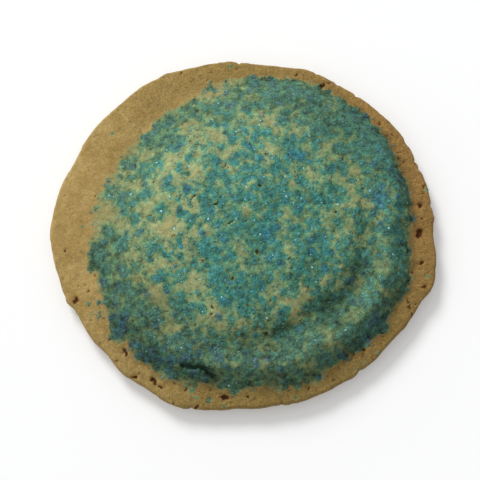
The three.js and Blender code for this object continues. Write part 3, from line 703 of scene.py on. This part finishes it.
# Strength of the dye in the heaps, and between them, where it grows with the grains near by. Towards the
# border it fades, over a longer way at the back left.
dyeing = {
    "heaps": 0.43, "heapRange": (0.05, 1.5),
    "least": 0.09, "growth": 0.45, "steepness": 1.9,
    "fade": 0.9, "longFade": 2, "longAt": 165, "longSpread": 40,
}


def dyeAt(x, y):
    # How strongly the dough is dyed, from 0 to 1: most in the heaps, less between them.
    near = seepedColour(x, y, grainStain, stainMap["near"])
    near *= 1 + 0.5 * unevenness(x, y, 0, size=3, seed=38)
    far = seepedColour(x, y, grainStain, stainMap["far"])
    far *= 1 + 0.45 * unevenness(x, y, 0, size=1.9, seed=39)
    between = dyeing["least"] + dyeing["growth"] * (1 - np.exp(-dyeing["steepness"] * far))
    between += gatherAt(dyeShifts, x, y)
    longer = bell(turnBetween(angleOf(x, y), dyeing["longAt"]) / dyeing["longSpread"])
    edge = ramp(-0.5, dyeing["fade"] + dyeing["longFade"] * longer, insideSugar(x, y))
    return dyeing["heaps"] * ramp(*dyeing["heapRange"], near) + between * edge


# Painted shade outside the pools: at the foot of the shoulder, as a painted shadow along the sugar's border,
# and in the dip. Each has its strength, its distance from the line it follows, its half-width, the angle of
# its middle and its spread.
shadeBands = {
    "foot": (0.55, 1.1, 1.3, -48, 56),
    "border": (0.6, 0.4, 0.6, 0, 100),
    "dip": (0.35, -0.8, 2.2, dip["deepestAt"], dip["spread"]),
}


def poolsAndShadeAt(x, y):
    # Where the dye is darkest and where shade is painted: the pools and the shade bands added up and made
    # uneven, only where there is dye, plus painted shade in the fold.
    angle, radius = angleOf(x, y), np.hypot(x, y)
    places = {
        "foot": (sugarRadius(angle) - radius, angle),
        "border": (insideSugar(x, y), angle),
        "dip": (aboutDip(x, y)[0], aboutDome(x, y)[1]),
    }
    dark = gatherAt(poolsAndShade, x, y)
    for name, (strength, middle, half, at, spread) in shadeBands.items():
        distance, around = places[name]
        dark += strength * bell((distance - middle) / half) * bell(turnBetween(around, at) / spread)
    uneven = 1 + 0.7 * unevenness(x, y, 0, size=1.8, seed=34)
    dyed = ramp(0.05, 0.35, dyeAt(x, y))
    return np.clip(dark * uneven * dyed + bell(foldDistance(x, y) / 0.7), 0, 1)


# The ring around the dome on which the dye is greener, less so on the right.
outerRing = {"from": 19, "to": 30, "weakAt": 12, "weakSpread": 28, "weakShare": 0.7}


def outerAt(x, y):
    # From 0 on the dome to 1 on the ring.
    fromDome = aboutDome(x, y)[0] + 2 * unevenness(x, y, 0, size=4, seed=37)
    weak = bell(turnBetween(angleOf(x, y), outerRing["weakAt"]) / outerRing["weakSpread"])
    return ramp(outerRing["from"], outerRing["to"], fromDome) * (1 - outerRing["weakShare"] * weak)


def blueAt(x, y):
    # How much of the dye is blue, from 0 to 1.
    return 1 - np.exp(-2 * seepedColour(x, y, grainStain * grainIsBlue, stainMap["near"]))


def outlineMiddle():
    # Middle of the box around the outline, which the frame has on its Z axis, and the size of that box.
    angle = np.arange(0, 360, 0.25)
    points = np.stack(fromPolar(outlineRadius(angle), angle), axis=1)
    return (points.min(0) + points.max(0)) / 2, points.max(0) - points.min(0)


formMiddle, formSize = outlineMiddle()
formScale = (highCorner - lowCorner)[:2] / (formSize * mm)


def inFrame(points):
    # Millimetres about the cookie's own middle become metres in the frame.
    placed = np.array(points, float)
    placed[:, :2] = (placed[:, :2] - formMiddle) * formScale + (lowCorner + highCorner)[:2] / 2 / mm
    return placed * mm


def makeMesh(name, points, triangles, smooth):
    mesh = bpy.data.meshes.new(name)
    mesh.vertices.add(len(points))
    mesh.vertices.foreach_set("co", inFrame(points).astype(np.float32).ravel())
    mesh.loops.add(triangles.size)
    mesh.loops.foreach_set("vertex_index", triangles.astype(np.int32).ravel())
    mesh.polygons.add(len(triangles))
    mesh.polygons.foreach_set("loop_start", np.arange(0, triangles.size, 3, dtype=np.int32))
    mesh.polygons.foreach_set("use_smooth", np.full(len(triangles), smooth))
    mesh.update(calc_edges=True)
    piece = bpy.data.objects.new(name, mesh)
    bpy.context.scene.collection.objects.link(piece)
    return piece


def addAttributes(piece, attributes):
    # For each name, a number at every point, which the piece's finish reads.
    for name, values in attributes.items():
        layer = piece.data.attributes.new(name, "FLOAT", "POINT")
        layer.data.foreach_set("value", np.asarray(values, np.float32))


def dyeAttributes(x, y):
    return {"dye": dyeAt(x, y), "blue": blueAt(x, y), "pooled": poolsAndShadeAt(x, y), "outer": outerAt(x, y)}


def splitQuads(a, b, c, d):
    # Two triangles for each quad, whose corners come as four arrays in order.
    return np.concatenate([np.stack([a, b, c], axis=1), np.stack([a, c, d], axis=1)])


# Cells along a side of the top's grid, and rows of the edge above and below its middle, and of the base.
surface = {"cells": 272, "upperRows": 12, "lowerRows": 6, "baseRows": 5}


def topGrid():
    # A square grid carried onto a disc: each square ring of the grid becomes a circle, and its position along
    # a side of the square becomes the polar angle. The disc is stretched to the start of the rounded edge.
    line = np.linspace(-1, 1, surface["cells"] + 1)
    u, v = np.meshgrid(line, line, indexing="ij")
    wide = np.abs(u) >= np.abs(v)
    larger = np.where(wide, u, v)
    smaller = np.where(wide, v, u)
    quarter = np.pi / 4 * smaller / np.where(larger == 0, 1, larger)
    turn = np.where(wide, quarter, np.pi / 2 - quarter)
    angle = np.degrees(np.arctan2(larger * np.sin(turn), larger * np.cos(turn)))
    radius = np.abs(larger) * (outlineRadius(angle) - dough["edgeReach"])
    return angle.ravel(), radius.ravel(), np.abs(larger).ravel()


def edgeRows(angle):
    # Radii and heights of the rows that follow the top's border: a quarter of an oval outwards and down to
    # the edge's middle, another inwards to the base, and straight on towards the middle of the base.
    outer = outlineRadius(angle)
    rows = []
    for quarter in np.linspace(0, math.pi / 2, surface["upperRows"] + 1)[1:]:
        radius = outer - dough["edgeReach"] * (1 - math.sin(quarter))
        top = topHeight(*fromPolar(radius, angle))
        rows.append((radius, dough["edgeMiddle"] + (top - dough["edgeMiddle"]) * math.cos(quarter)))
    for quarter in np.linspace(0, math.pi / 2, surface["lowerRows"] + 1)[1:]:
        radius = outer - dough["undercut"] * (1 - math.cos(quarter))
        rows.append((radius, np.full(len(radius), dough["edgeMiddle"] * (1 - math.sin(quarter)))))
    for part in np.linspace(1, 0, surface["baseRows"] + 1)[1:-1]:
        rows.append(((outer - dough["undercut"]) * part, np.zeros(len(outer))))
    return rows


def doughSurface():
    # The top's grid, the rows around the edge and under it, and one point in the middle of the base.
    angle, radius, share = topGrid()
    x, y = fromPolar(radius, angle)
    points = [np.stack([x, y, topHeight(x, y)], axis=1)]
    side = surface["cells"] + 1
    index = np.arange(side * side).reshape(side, side)
    corners = (index[:-1, :-1], index[1:, :-1], index[1:, 1:], index[:-1, 1:])
    triangles = [splitQuads(*(corner.ravel() for corner in corners))]

    # The grid's border in order of angle.
    border = np.flatnonzero(share > 1 - 1e-9)
    border = border[np.argsort(angle[border] % 360)]
    count = len(border)
    rows = edgeRows(angle[border])
    for rowRadius, height in rows:
        points.append(np.stack([*fromPolar(rowRadius, angle[border]), height], axis=1))
    points.append(np.zeros((1, 3)))

    starts = side * side + count * np.arange(len(rows))
    loops = [border] + [start + np.arange(count) for start in starts]
    for inner, following in zip(loops[:-1], loops[1:]):
        triangles.append(splitQuads(inner, following, np.roll(following, -1), np.roll(inner, -1)))
    last = np.full(count, starts[-1] + count)
    triangles.append(np.stack([loops[-1], last, np.roll(loops[-1], -1)], axis=1))
    return np.concatenate(points), np.concatenate(triangles)


# Unevenness of the edge, outwards, and of the underside, upwards: size across and height.
edgeLumps = [(2.2, 0.13), (0.9, 0.08)]
baseHollows = [(5, 0.16), (1.6, 0.1)]


def roughen(points, inward):
    # Moves the edge straight outwards and the underside straight upwards.
    x, y, z = points.T.copy()
    outwards = sum(height * unevenness(x, y, z, size, 41 + i) for i, (size, height) in enumerate(edgeLumps))
    edge = ramp(dough["edgeReach"], 0, inward) * ramp(0.1, 1.2, z)
    points[:, :2] *= (1 + outwards * edge / np.maximum(np.hypot(x, y), 1))[:, None]

    x, y = points[:, :2].T
    isUnder = (z < 1e-6) & (inward > dough["undercut"] + 0.3)
    hollows = sum(height * np.maximum(unevenness(x, y, 0, size, 43 + i), 0)
                  for i, (size, height) in enumerate(baseHollows))
    points[:, 2] += np.where(isUnder, hollows, 0)


# Where a shadow is painted along the sugar's border, where the edge is more or less browned, partly as
# painted shade at the back and the front, and where it is ruddy: by polar angle as above, the last number a
# strength.
borderShadowChanges = [(5, 55, 1), (-125, 25, 0.7)]
browningAndShadeChanges = [(178, 70, -0.9), (-45, 40, -0.15), (105, 25, 0.2), (-90, 20, 0.1)]
ruddyChanges = [(22, 45, 1)]


def makeDough():
    points, triangles = doughSurface()
    x, y = points[:, :2].T
    inward = outlineRadius(angleOf(x, y)) - np.hypot(x, y)
    roughen(points, inward)
    piece = makeMesh("cookie_dough", points, triangles, True)

    x, y, z = points.T
    angle = angleOf(x, y)
    above = ramp(dough["edgeMiddle"], dough["edgeMiddle"] + 1.5, z)
    attributes = dyeAttributes(x, y)
    attributes["dye"] *= above
    attributes["blue"] *= above
    # Painted shade in the fold.
    attributes["crease"] = bell(foldDistance(x, y) / 0.5) * (1 + 0.5 * unevenness(x, y, 0, size=1.5, seed=46))
    # A painted shadow along the sugar's border, at the foot of the shoulder.
    stain = changesAt(borderShadowChanges, angle) * bell((insideSugar(x, y) + 0.35) / 0.75)
    attributes["stain"] = stain * (1 + 0.6 * unevenness(x, y, 0, size=2.5, seed=45))
    attributes["bare"] = ramp(0.5, -0.5, insideSugar(x, y))
    # How far into a pore each point lies, which paints it dark as shade in the hole.
    attributes["pore"] = poreDepth(x, y)[1] * ramp(1, 2.5, z)
    # Browning of the rim, partly painted shade at the back and the front.
    attributes["browning"] = (1 + changesAt(browningAndShadeChanges, angle)) * ramp(14, 2, inward)
    attributes["ruddy"] = changesAt(ruddyChanges, angle) * ramp(14, 4, inward)
    addAttributes(piece, attributes)
    return piece


def grainShape():
    # A cube cut at the middles of its edges: twelve corners, eight triangles and six squares.
    corners = [(a, b, 0) for a in (-1, 1) for b in (-1, 1)]
    corners += [(a, 0, b) for a in (-1, 1) for b in (-1, 1)]
    corners += [(0, a, b) for a in (-1, 1) for b in (-1, 1)]
    corners = np.array(corners, float)
    faces = []
    for normal in [np.array(n) for n in np.ndindex(3, 3, 3)]:
        normal = normal - 1
        if np.abs(normal).sum() not in (1, 3):
            continue
        reach = corners @ normal
        ring = np.flatnonzero(reach > reach.max() - 1e-9)
        across = np.cross(normal, corners[ring[0]])
        turn = np.arctan2(corners[ring] @ across / np.linalg.norm(across),
                          corners[ring] @ (corners[ring[0]] - normal * reach.max() / (normal @ normal)))
        ring = ring[np.argsort(turn)]
        faces += [(ring[0], ring[i], ring[i + 1]) for i in range(1, len(ring) - 1)]
    return corners / 2, np.array(faces)


def turnedFrames(random, count):
    # Random turns as rotation matrices, from unit quaternions.
    q = random.normal(0, 1, (count, 4))
    w, x, y, z = (q / np.linalg.norm(q, axis=1, keepdims=True)).T
    return np.stack([
        1 - 2 * (y * y + z * z), 2 * (x * y - z * w), 2 * (x * z + y * w),
        2 * (x * y + z * w), 1 - 2 * (x * x + z * z), 2 * (y * z - x * w),
        2 * (x * z - y * w), 2 * (y * z + x * w), 1 - 2 * (x * x + y * y),
    ], axis=1).reshape(count, 3, 3)


def topNormal(x, y):
    # The direction that the top faces, from its slopes over a short step to each side.
    step = 0.4
    slopeX = (topHeight(x + step, y) - topHeight(x - step, y)) / (2 * step)
    slopeY = (topHeight(x, y + step) - topHeight(x, y - step)) / (2 * step)
    normal = np.stack([-slopeX, -slopeY, np.ones(len(x))], axis=1)
    return normal / np.linalg.norm(normal, axis=1, keepdims=True)


# A grain's block: how uneven its corners and its three sides are, how much it is pressed flat, and how far it
# may sink below or rise above its kind's lift, as a share of its size.
grainBlock = {"corners": (0.82, 1.18), "sides": (0.75, 1.2), "flattened": 0.6, "sunk": (-0.16, 0.06)}


def makeGrains(kind, seed):
    # One block for each grain: the cut cube with uneven corners, stretched, turned at random, pressed flat
    # along the dough's slope and sunk partly in.
    random = np.random.default_rng(seed)
    chosen = kind["chosen"]
    x, y, size = grainX[chosen], grainY[chosen], grainSize[chosen] * kind["scale"]
    corners, faces = grainShape()
    count = len(x)
    blocks = corners[None] * random.uniform(*grainBlock["corners"], (count, len(corners), 1))
    blocks = blocks * (size[:, None, None] * random.uniform(*grainBlock["sides"], (count, 1, 3)))
    blocks = np.einsum("nij,nkj->nki", turnedFrames(random, count), blocks)
    upwards = topNormal(x, y)
    along = np.einsum("nij,nj->ni", blocks, upwards)
    blocks -= grainBlock["flattened"] * along[:, :, None] * upwards[:, None, :]
    raised = size * (kind["lift"] + random.uniform(*grainBlock["sunk"], count))
    blocks += (np.stack([x, y, topHeight(x, y)], axis=1) + upwards * raised[:, None])[:, None, :]
    triangles = (faces[None] + (np.arange(count) * len(corners))[:, None, None]).reshape(-1, 3)
    piece = makeMesh(kind["name"], blocks.reshape(-1, 3), triangles, False)
    attributes = {"own": random.uniform(0, 1, count), **dyeAttributes(x, y)}
    addAttributes(piece, {name: np.repeat(values, len(corners)) for name, values in attributes.items()})
    return piece


def paint(red, green, blue):
    # A colour as it looks on a screen, from 0 to 255, as the light that the shader needs.
    shares = [c / 255 for c in (red, green, blue)]
    return tuple(s / 12.92 if s <= 0.04045 else ((s + 0.055) / 1.055) ** 2.4 for s in shares) + (1,)


class Wire:
    # One socket of a material; arithmetic on it adds Math nodes.
    def __init__(self, shader, socket):
        self.shader = shader
        self.socket = socket

    def __add__(self, other):
        return self.shader.maths("ADD", self, other)

    def __radd__(self, other):
        return self.shader.maths("ADD", other, self)

    def __sub__(self, other):
        return self.shader.maths("SUBTRACT", self, other)

    def __rsub__(self, other):
        return self.shader.maths("SUBTRACT", other, self)

    def __mul__(self, other):
        return self.shader.maths("MULTIPLY", self, other)

    def __rmul__(self, other):
        return self.shader.maths("MULTIPLY", other, self)

    def __truediv__(self, other):
        return self.shader.maths("DIVIDE", self, other)

    def __rtruediv__(self, other):
        return self.shader.maths("DIVIDE", other, self)


class Shader:
    # A material and the few ways in which its nodes are added.
    def __init__(self, name):
        self.material = bpy.data.materials.new(name)
        self.material.use_nodes = True
        self.tree = self.material.node_tree
        self.tree.nodes.clear()

    def add(self, kind, settings=None, values=None, output=0):
        node = self.tree.nodes.new(kind)
        for key, setting in (settings or {}).items():
            if key == "stops":
                elements = node.color_ramp.elements
                while len(elements) < len(setting):
                    elements.new(0.5)
                for element, (position, colour) in zip(elements, setting):
                    element.position = position
                    element.color = colour
            else:
                setattr(node, key, setting)
        for key, value in (values or {}).items():
            if isinstance(value, Wire):
                self.tree.links.new(value.socket, node.inputs[key])
            else:
                node.inputs[key].default_value = value
        return Wire(self, node.outputs[output])

    def maths(self, operation, a, b):
        return self.add("ShaderNodeMath", {"operation": operation}, {0: a, 1: b})

    def between(self, low, high, value):
        # Goes smoothly from 0 at low to 1 at high.
        settings = {"interpolation_type": "SMOOTHSTEP"}
        return self.add("ShaderNodeMapRange", settings, {"Value": value, "From Min": low, "From Max": high})

    def mix(self, share, a, b, way="MIX"):
        # Two colours mixed; sockets 0, 6 and 7 are the factor and the colours.
        settings = {"data_type": "RGBA", "blend_type": way}
        return self.add("ShaderNodeMix", settings, {0: share, 6: a, 7: b}, 2)

    def layers(self, colour, coats):
        # Colours laid over one another, each as strongly as its share says.
        for share, coat in coats:
            colour = self.mix(share, colour, coat)
        return colour

    def attribute(self, name):
        return self.add("ShaderNodeAttribute", {"attribute_name": name}, output="Fac")

    def place(self):
        return self.add("ShaderNodeTexCoord", output="Object")

    def noise(self, size, detail, roughness):
        # Noise from 0 to 1 with features of this size in millimetres.
        values = {"Vector": self.place(), "Scale": 1 / (size * mm), "Detail": detail, "Roughness": roughness}
        return self.add("ShaderNodeTexNoise", None, values)

    def rings(self, width, length):
        # Noise drawn out around the middle: its features are this wide, and this long at half the radius.
        # The direction from the middle gives two coordinates, so the noise closes on itself, and the radius
        # gives the third.
        flat = self.vectors("MULTIPLY", self.place(), (1, 1, 0))
        radius = self.add("ShaderNodeVectorMath", {"operation": "LENGTH"}, {0: flat}, "Value")
        turns = dough["width"] / 4 / length
        around = self.vectors("MULTIPLY", self.vectors("NORMALIZE", flat), (turns, turns, 0))
        outward = self.add("ShaderNodeCombineXYZ", None, {"Z": radius / (width * mm)})
        values = {"Vector": self.vectors("ADD", around, outward), "Scale": 1.0, "Detail": 1.0}
        return self.add("ShaderNodeTexNoise", None, values)

    def vectors(self, operation, a, b=(0, 0, 0)):
        return self.add("ShaderNodeVectorMath", {"operation": operation}, {0: a, 1: b})

    def cells(self, size):
        # A number from 0 to 1 for each of many irregular cells of this size in millimetres.
        values = {"Vector": self.place(), "Scale": 1 / (size * mm)}
        colour = self.add("ShaderNodeTexVoronoi", None, values, "Color")
        return self.add("ShaderNodeSeparateColor", None, {0: colour})

    def bump(self, height, distance, strength):
        values = {"Height": height, "Distance": distance * mm, "Strength": strength}
        return self.add("ShaderNodeBump", None, values)

    def finish(self, values):
        skin = self.add("ShaderNodeBsdfPrincipled", None, values)
        output = self.tree.nodes.new("ShaderNodeOutputMaterial")
        self.tree.links.new(skin.socket, output.inputs["Surface"])
        return self.material


doughColours = {
    "pale": paint(168, 143, 89),
    "golden": paint(154, 128, 72),
    # Browned dough, also used as painted shade on the rim.
    "brownAndShade": paint(127, 106, 51),
    "ruddy": paint(151, 115, 63),
    "speck": paint(124, 99, 50),
    "pore": paint(80, 42, 14),
    "under": paint(126, 86, 42),
    "tan": paint(156, 118, 66),
    "reddish": paint(120, 82, 38),
    "crack": paint(62, 56, 24),
    "murk": paint(44, 70, 46),
    # Painted shade in the fold.
    "fold": paint(22, 44, 40),
    # Painted shadow along the sugar's border.
    "edge": paint(96, 80, 42),
    # Pale crystal tips, partly painted highlight.
    "paleTipAndHighlight": paint(76, 146, 152),
}

# Dough coloured by the dye that left the sugar, from a trace to a pool between the grains.
dyeStops = [
    (0.0, paint(163, 148, 97)), (0.16, paint(157, 151, 102)), (0.26, paint(144, 152, 106)),
    (0.37, paint(121, 148, 106)), (0.46, paint(96, 138, 103)), (0.55, paint(76, 129, 101)),
    (0.7, paint(57, 121, 104)), (0.85, paint(46, 118, 110)),
]
blueDye = paint(28, 94, 110)
# Dark colours of the pools, which are partly painted shade.
pooledDyeAndShade = paint(38, 70, 48)
pooledBlueAndShade = paint(22, 60, 74)
oliveDye = paint(88, 88, 36)


def dyedColour(shader, dye):
    # The ramp of dye, bluer where blue grains lie.
    dyed = shader.add("ShaderNodeValToRGB", {"stops": dyeStops}, {"Fac": dye})
    return shader.mix(shader.attribute("blue") * 0.7, dyed, blueDye)


def tintedAndShaded(shader, dyed):
    # Greener on the outer ring, and darker in the pools and the painted shade.
    dyed = shader.mix(shader.attribute("outer") * 0.32, dyed, oliveDye)
    dark = shader.mix(shader.attribute("blue"), pooledDyeAndShade, pooledBlueAndShade)
    return shader.mix(shader.attribute("pooled") * 0.76, dyed, dark)


def darkPatches(shader):
    # How much patchier the dyed dough and its grains are on the outer ring and in the pools and painted
    # shade.
    return shader.attribute("outer") * 0.25 + shader.attribute("pooled") * 0.9


def crumbled(shader, colour, fineness, patchiness):
    # Everything is mottled lighter and darker, by fine crumbs and by patches.
    fine = (shader.noise(0.32, 2, 0.7) - 0.5) * fineness
    patches = (shader.noise(1.3, 2, 0.6) - 0.5) * patchiness
    return shader.mix(0.75, colour, fine + patches + 0.5, "OVERLAY")


def doughFinish():
    shader = Shader("baked_dough")
    pore = shader.attribute("pore")
    browning = shader.attribute("browning")
    ruddy = shader.attribute("ruddy")
    dye = shader.attribute("dye")

    # Plain dough is golden and pale, browned and ruddy at the edge, the browning partly painted shade at the
    # back and the front, and specked.
    mottle = shader.noise(3.2, 4, 0.6)
    brownAndShade = browning * 0.6 + (mottle - 0.5) * 0.4
    brownPatch = shader.between(0.52, 0.68, shader.noise(1.5, 3, 0.6)) * ruddy * 0.45
    speck = shader.between(0.42, 0.72, shader.noise(0.55, 3, 0.7))
    fleck = shader.between(0.62, 0.72, shader.noise(0.5, 2, 0.5))
    colour = shader.mix(shader.between(0.35, 0.65, mottle), doughColours["golden"], doughColours["pale"])
    colour = shader.layers(colour, [
        (shader.between(0.0, 1.0, brownAndShade), doughColours["brownAndShade"]),
        (ruddy * 0.8, doughColours["ruddy"]),
        (brownPatch, doughColours["reddish"]),
        (speck * (browning * 0.3 + 0.3), doughColours["speck"]),
        (fleck * (browning * 0.3 + 0.06), doughColours["pore"]),
    ])

    # The dye is mottled finely: in cells as large as grains, and in fine noise, with pale cell tips that are
    # partly painted highlight. Thin dark dashes run around the sugared part, a painted shadow lies along the
    # sugar's border, painted shade lies in the fold, and the pores and cracks are darkest, painted shade that
    # deepens with the hole.
    cell = shader.cells(0.62)
    uneven = dye * 0.65 + shader.between(0.03, 0.2, dye) * 0.2
    strength = dye + (shader.noise(0.6, 2, 0.6) - 0.5) * uneven + (cell - 0.5) * uneven * 0.3
    dyed = tintedAndShaded(shader, dyedColour(shader, strength))
    sugared = shader.between(0.08, 0.4, dye)
    murk = shader.between(0.35, 0.75, shader.noise(0.28, 2, 0.6)) * shader.between(0.15, 0.5, dye)
    # Pale tips of cells, partly pale crystal and partly painted highlight.
    paleTipAndHighlight = shader.between(0.72, 0.95, cell) * shader.between(0.35, 0.6, dye)
    dash = shader.between(0.67, 0.73, shader.rings(0.5, 1.2))
    plain = 1 - shader.between(0.02, 0.12, dye)
    # The inside of pores and cracks, brown or olive and painted dark as shade in the hole.
    holeShade = shader.mix(plain, doughColours["crack"], doughColours["pore"])
    ragged = pore + (shader.noise(0.4, 2, 0.6) - 0.5) * pore * 1.4
    colour = shader.layers(colour, [
        (shader.between(0.0, 0.1, strength - shader.attribute("bare") * 0.2), dyed),
        # Painted shadow along the sugar's border.
        (shader.attribute("stain") * 0.6, doughColours["edge"]),
        (murk * 0.5, doughColours["murk"]),
        (paleTipAndHighlight * (0.6 - shader.attribute("outer") * 0.4), doughColours["paleTipAndHighlight"]),
        (dash * sugared * 0.85, doughColours["crack"]),
        # Painted shade in the fold.
        (shader.attribute("crease") * 0.55, doughColours["fold"]),
        (shader.between(0.0, 0.4, pore) * plain * 0.3, doughColours["reddish"]),
        # Painted shade in pores and cracks.
        (shader.between(0.34, 0.5, ragged), holeShade),
    ])

    # The baked underside is browner, in patches.
    height = shader.add("ShaderNodeSeparateXYZ", None, {0: shader.place()}, "Z")
    under = 1 - shader.between(0.1 * mm, 1.6 * mm, height)
    bakedPatch = shader.between(0.35, 0.7, shader.noise(7, 4, 0.6))
    baked = shader.mix(bakedPatch, doughColours["under"], doughColours["tan"])
    colour = shader.mix(under * 0.9, colour, baked)
    fineness = sugared * 0.2 + browning * 0.65 + under * 0.3 + 0.58
    colour = crumbled(shader, colour, fineness, sugared * (1 + darkPatches(shader)) + under + 0.4)

    crumb = shader.noise(0.5, 4, 0.75) * (browning * 0.6 + 0.6) + shader.noise(1.6, 2, 0.5) * 0.5
    return shader.finish({
        "Base Color": colour,
        "Roughness": 0.72 - dye * 0.1,
        "Specular IOR Level": 0.2,
        "Normal": shader.bump(crumb, 0.2, 0.9),
    })


def sugarFinish(kind):
    # Grains take the colour of the dye around them, mixed with their own: some deep, some pale. They are
    # darker too in the pools and the painted shade.
    shader = Shader(kind["name"])
    own = shader.attribute("own")
    around = dyedColour(shader, shader.attribute("dye") + 0.05)
    colour = shader.mix(shader.between(0.0, 1.0, own), kind["deep"], kind["pale"])
    colour = tintedAndShaded(shader, shader.mix(kind["strength"], around, colour))
    return shader.finish({
        "Base Color": crumbled(shader, colour, 0.85, darkPatches(shader) + 1.4),
        "Roughness": kind["roughness"] + own * 0.25,
        "IOR": 1.5,
        "Specular IOR Level": 0.5,
        "Normal": shader.bump(shader.noise(0.2, 2, 0.5), 0.04, 0.5),
    })


def floorFinish():
    # A little light of its own keeps the shadows on it pale.
    return Shader("studio_floor").finish({
        "Base Color": (0.74, 0.745, 0.745, 1),
        "Roughness": 0.9,
        "Specular IOR Level": 0.0,
        "Emission Color": (1, 1, 1, 1),
        "Emission Strength": 0.205,
    })


floorHalf = 3              # in metres


def makeFloor():
    corners = [(x * floorHalf, y * floorHalf, 0) for x, y in ((-1, -1), (1, -1), (1, 1), (-1, 1))]
    mesh = bpy.data.meshes.new("floor")
    mesh.from_pydata(corners, [], [(0, 1, 2, 3)])
    floor = bpy.data.objects.new("floor", mesh)
    bpy.context.scene.collection.objects.link(floor)
    mesh.materials.append(floorFinish())


makeFloor()
print("floor ready")

doughPiece = makeDough()
doughPiece.data.materials.append(doughFinish())
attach(doughPiece, "root")
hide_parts("cookie")
print("dough ready:", len(doughPiece.data.polygons), "triangles")

# The three kinds of grains: which they are, their size and lift as shares of the grain's, their deep and pale
# colours, how strong these are against the dye around, and their roughness. The clear grains' pale colour is
# partly a painted glint.
sugarKinds = [
    {"name": "teal_sugar", "chosen": ~grainIsBlue & ~grainIsClear, "scale": 1, "lift": -0.09,
     "deep": paint(16, 76, 68), "pale": paint(70, 138, 130), "strength": 0.55, "roughness": 0.5},
    {"name": "blue_sugar", "chosen": grainIsBlue, "scale": 1, "lift": -0.08,
     "deep": paint(12, 74, 98), "pale": paint(52, 126, 154), "strength": 0.55, "roughness": 0.45},
    {"name": "clear_sugar", "chosen": grainIsClear, "scale": 0.5, "lift": 0.04,
     "deep": paint(96, 156, 168), "pale": paint(196, 222, 230), "strength": 0.9, "roughness": 0.3},
]
for seed, kind in enumerate(sugarKinds, 51):
    piece = makeGrains(kind, seed)
    piece.data.materials.append(sugarFinish(kind))
    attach(piece, "root")
    print(kind["name"], "ready:", len(piece.data.polygons), "triangles")
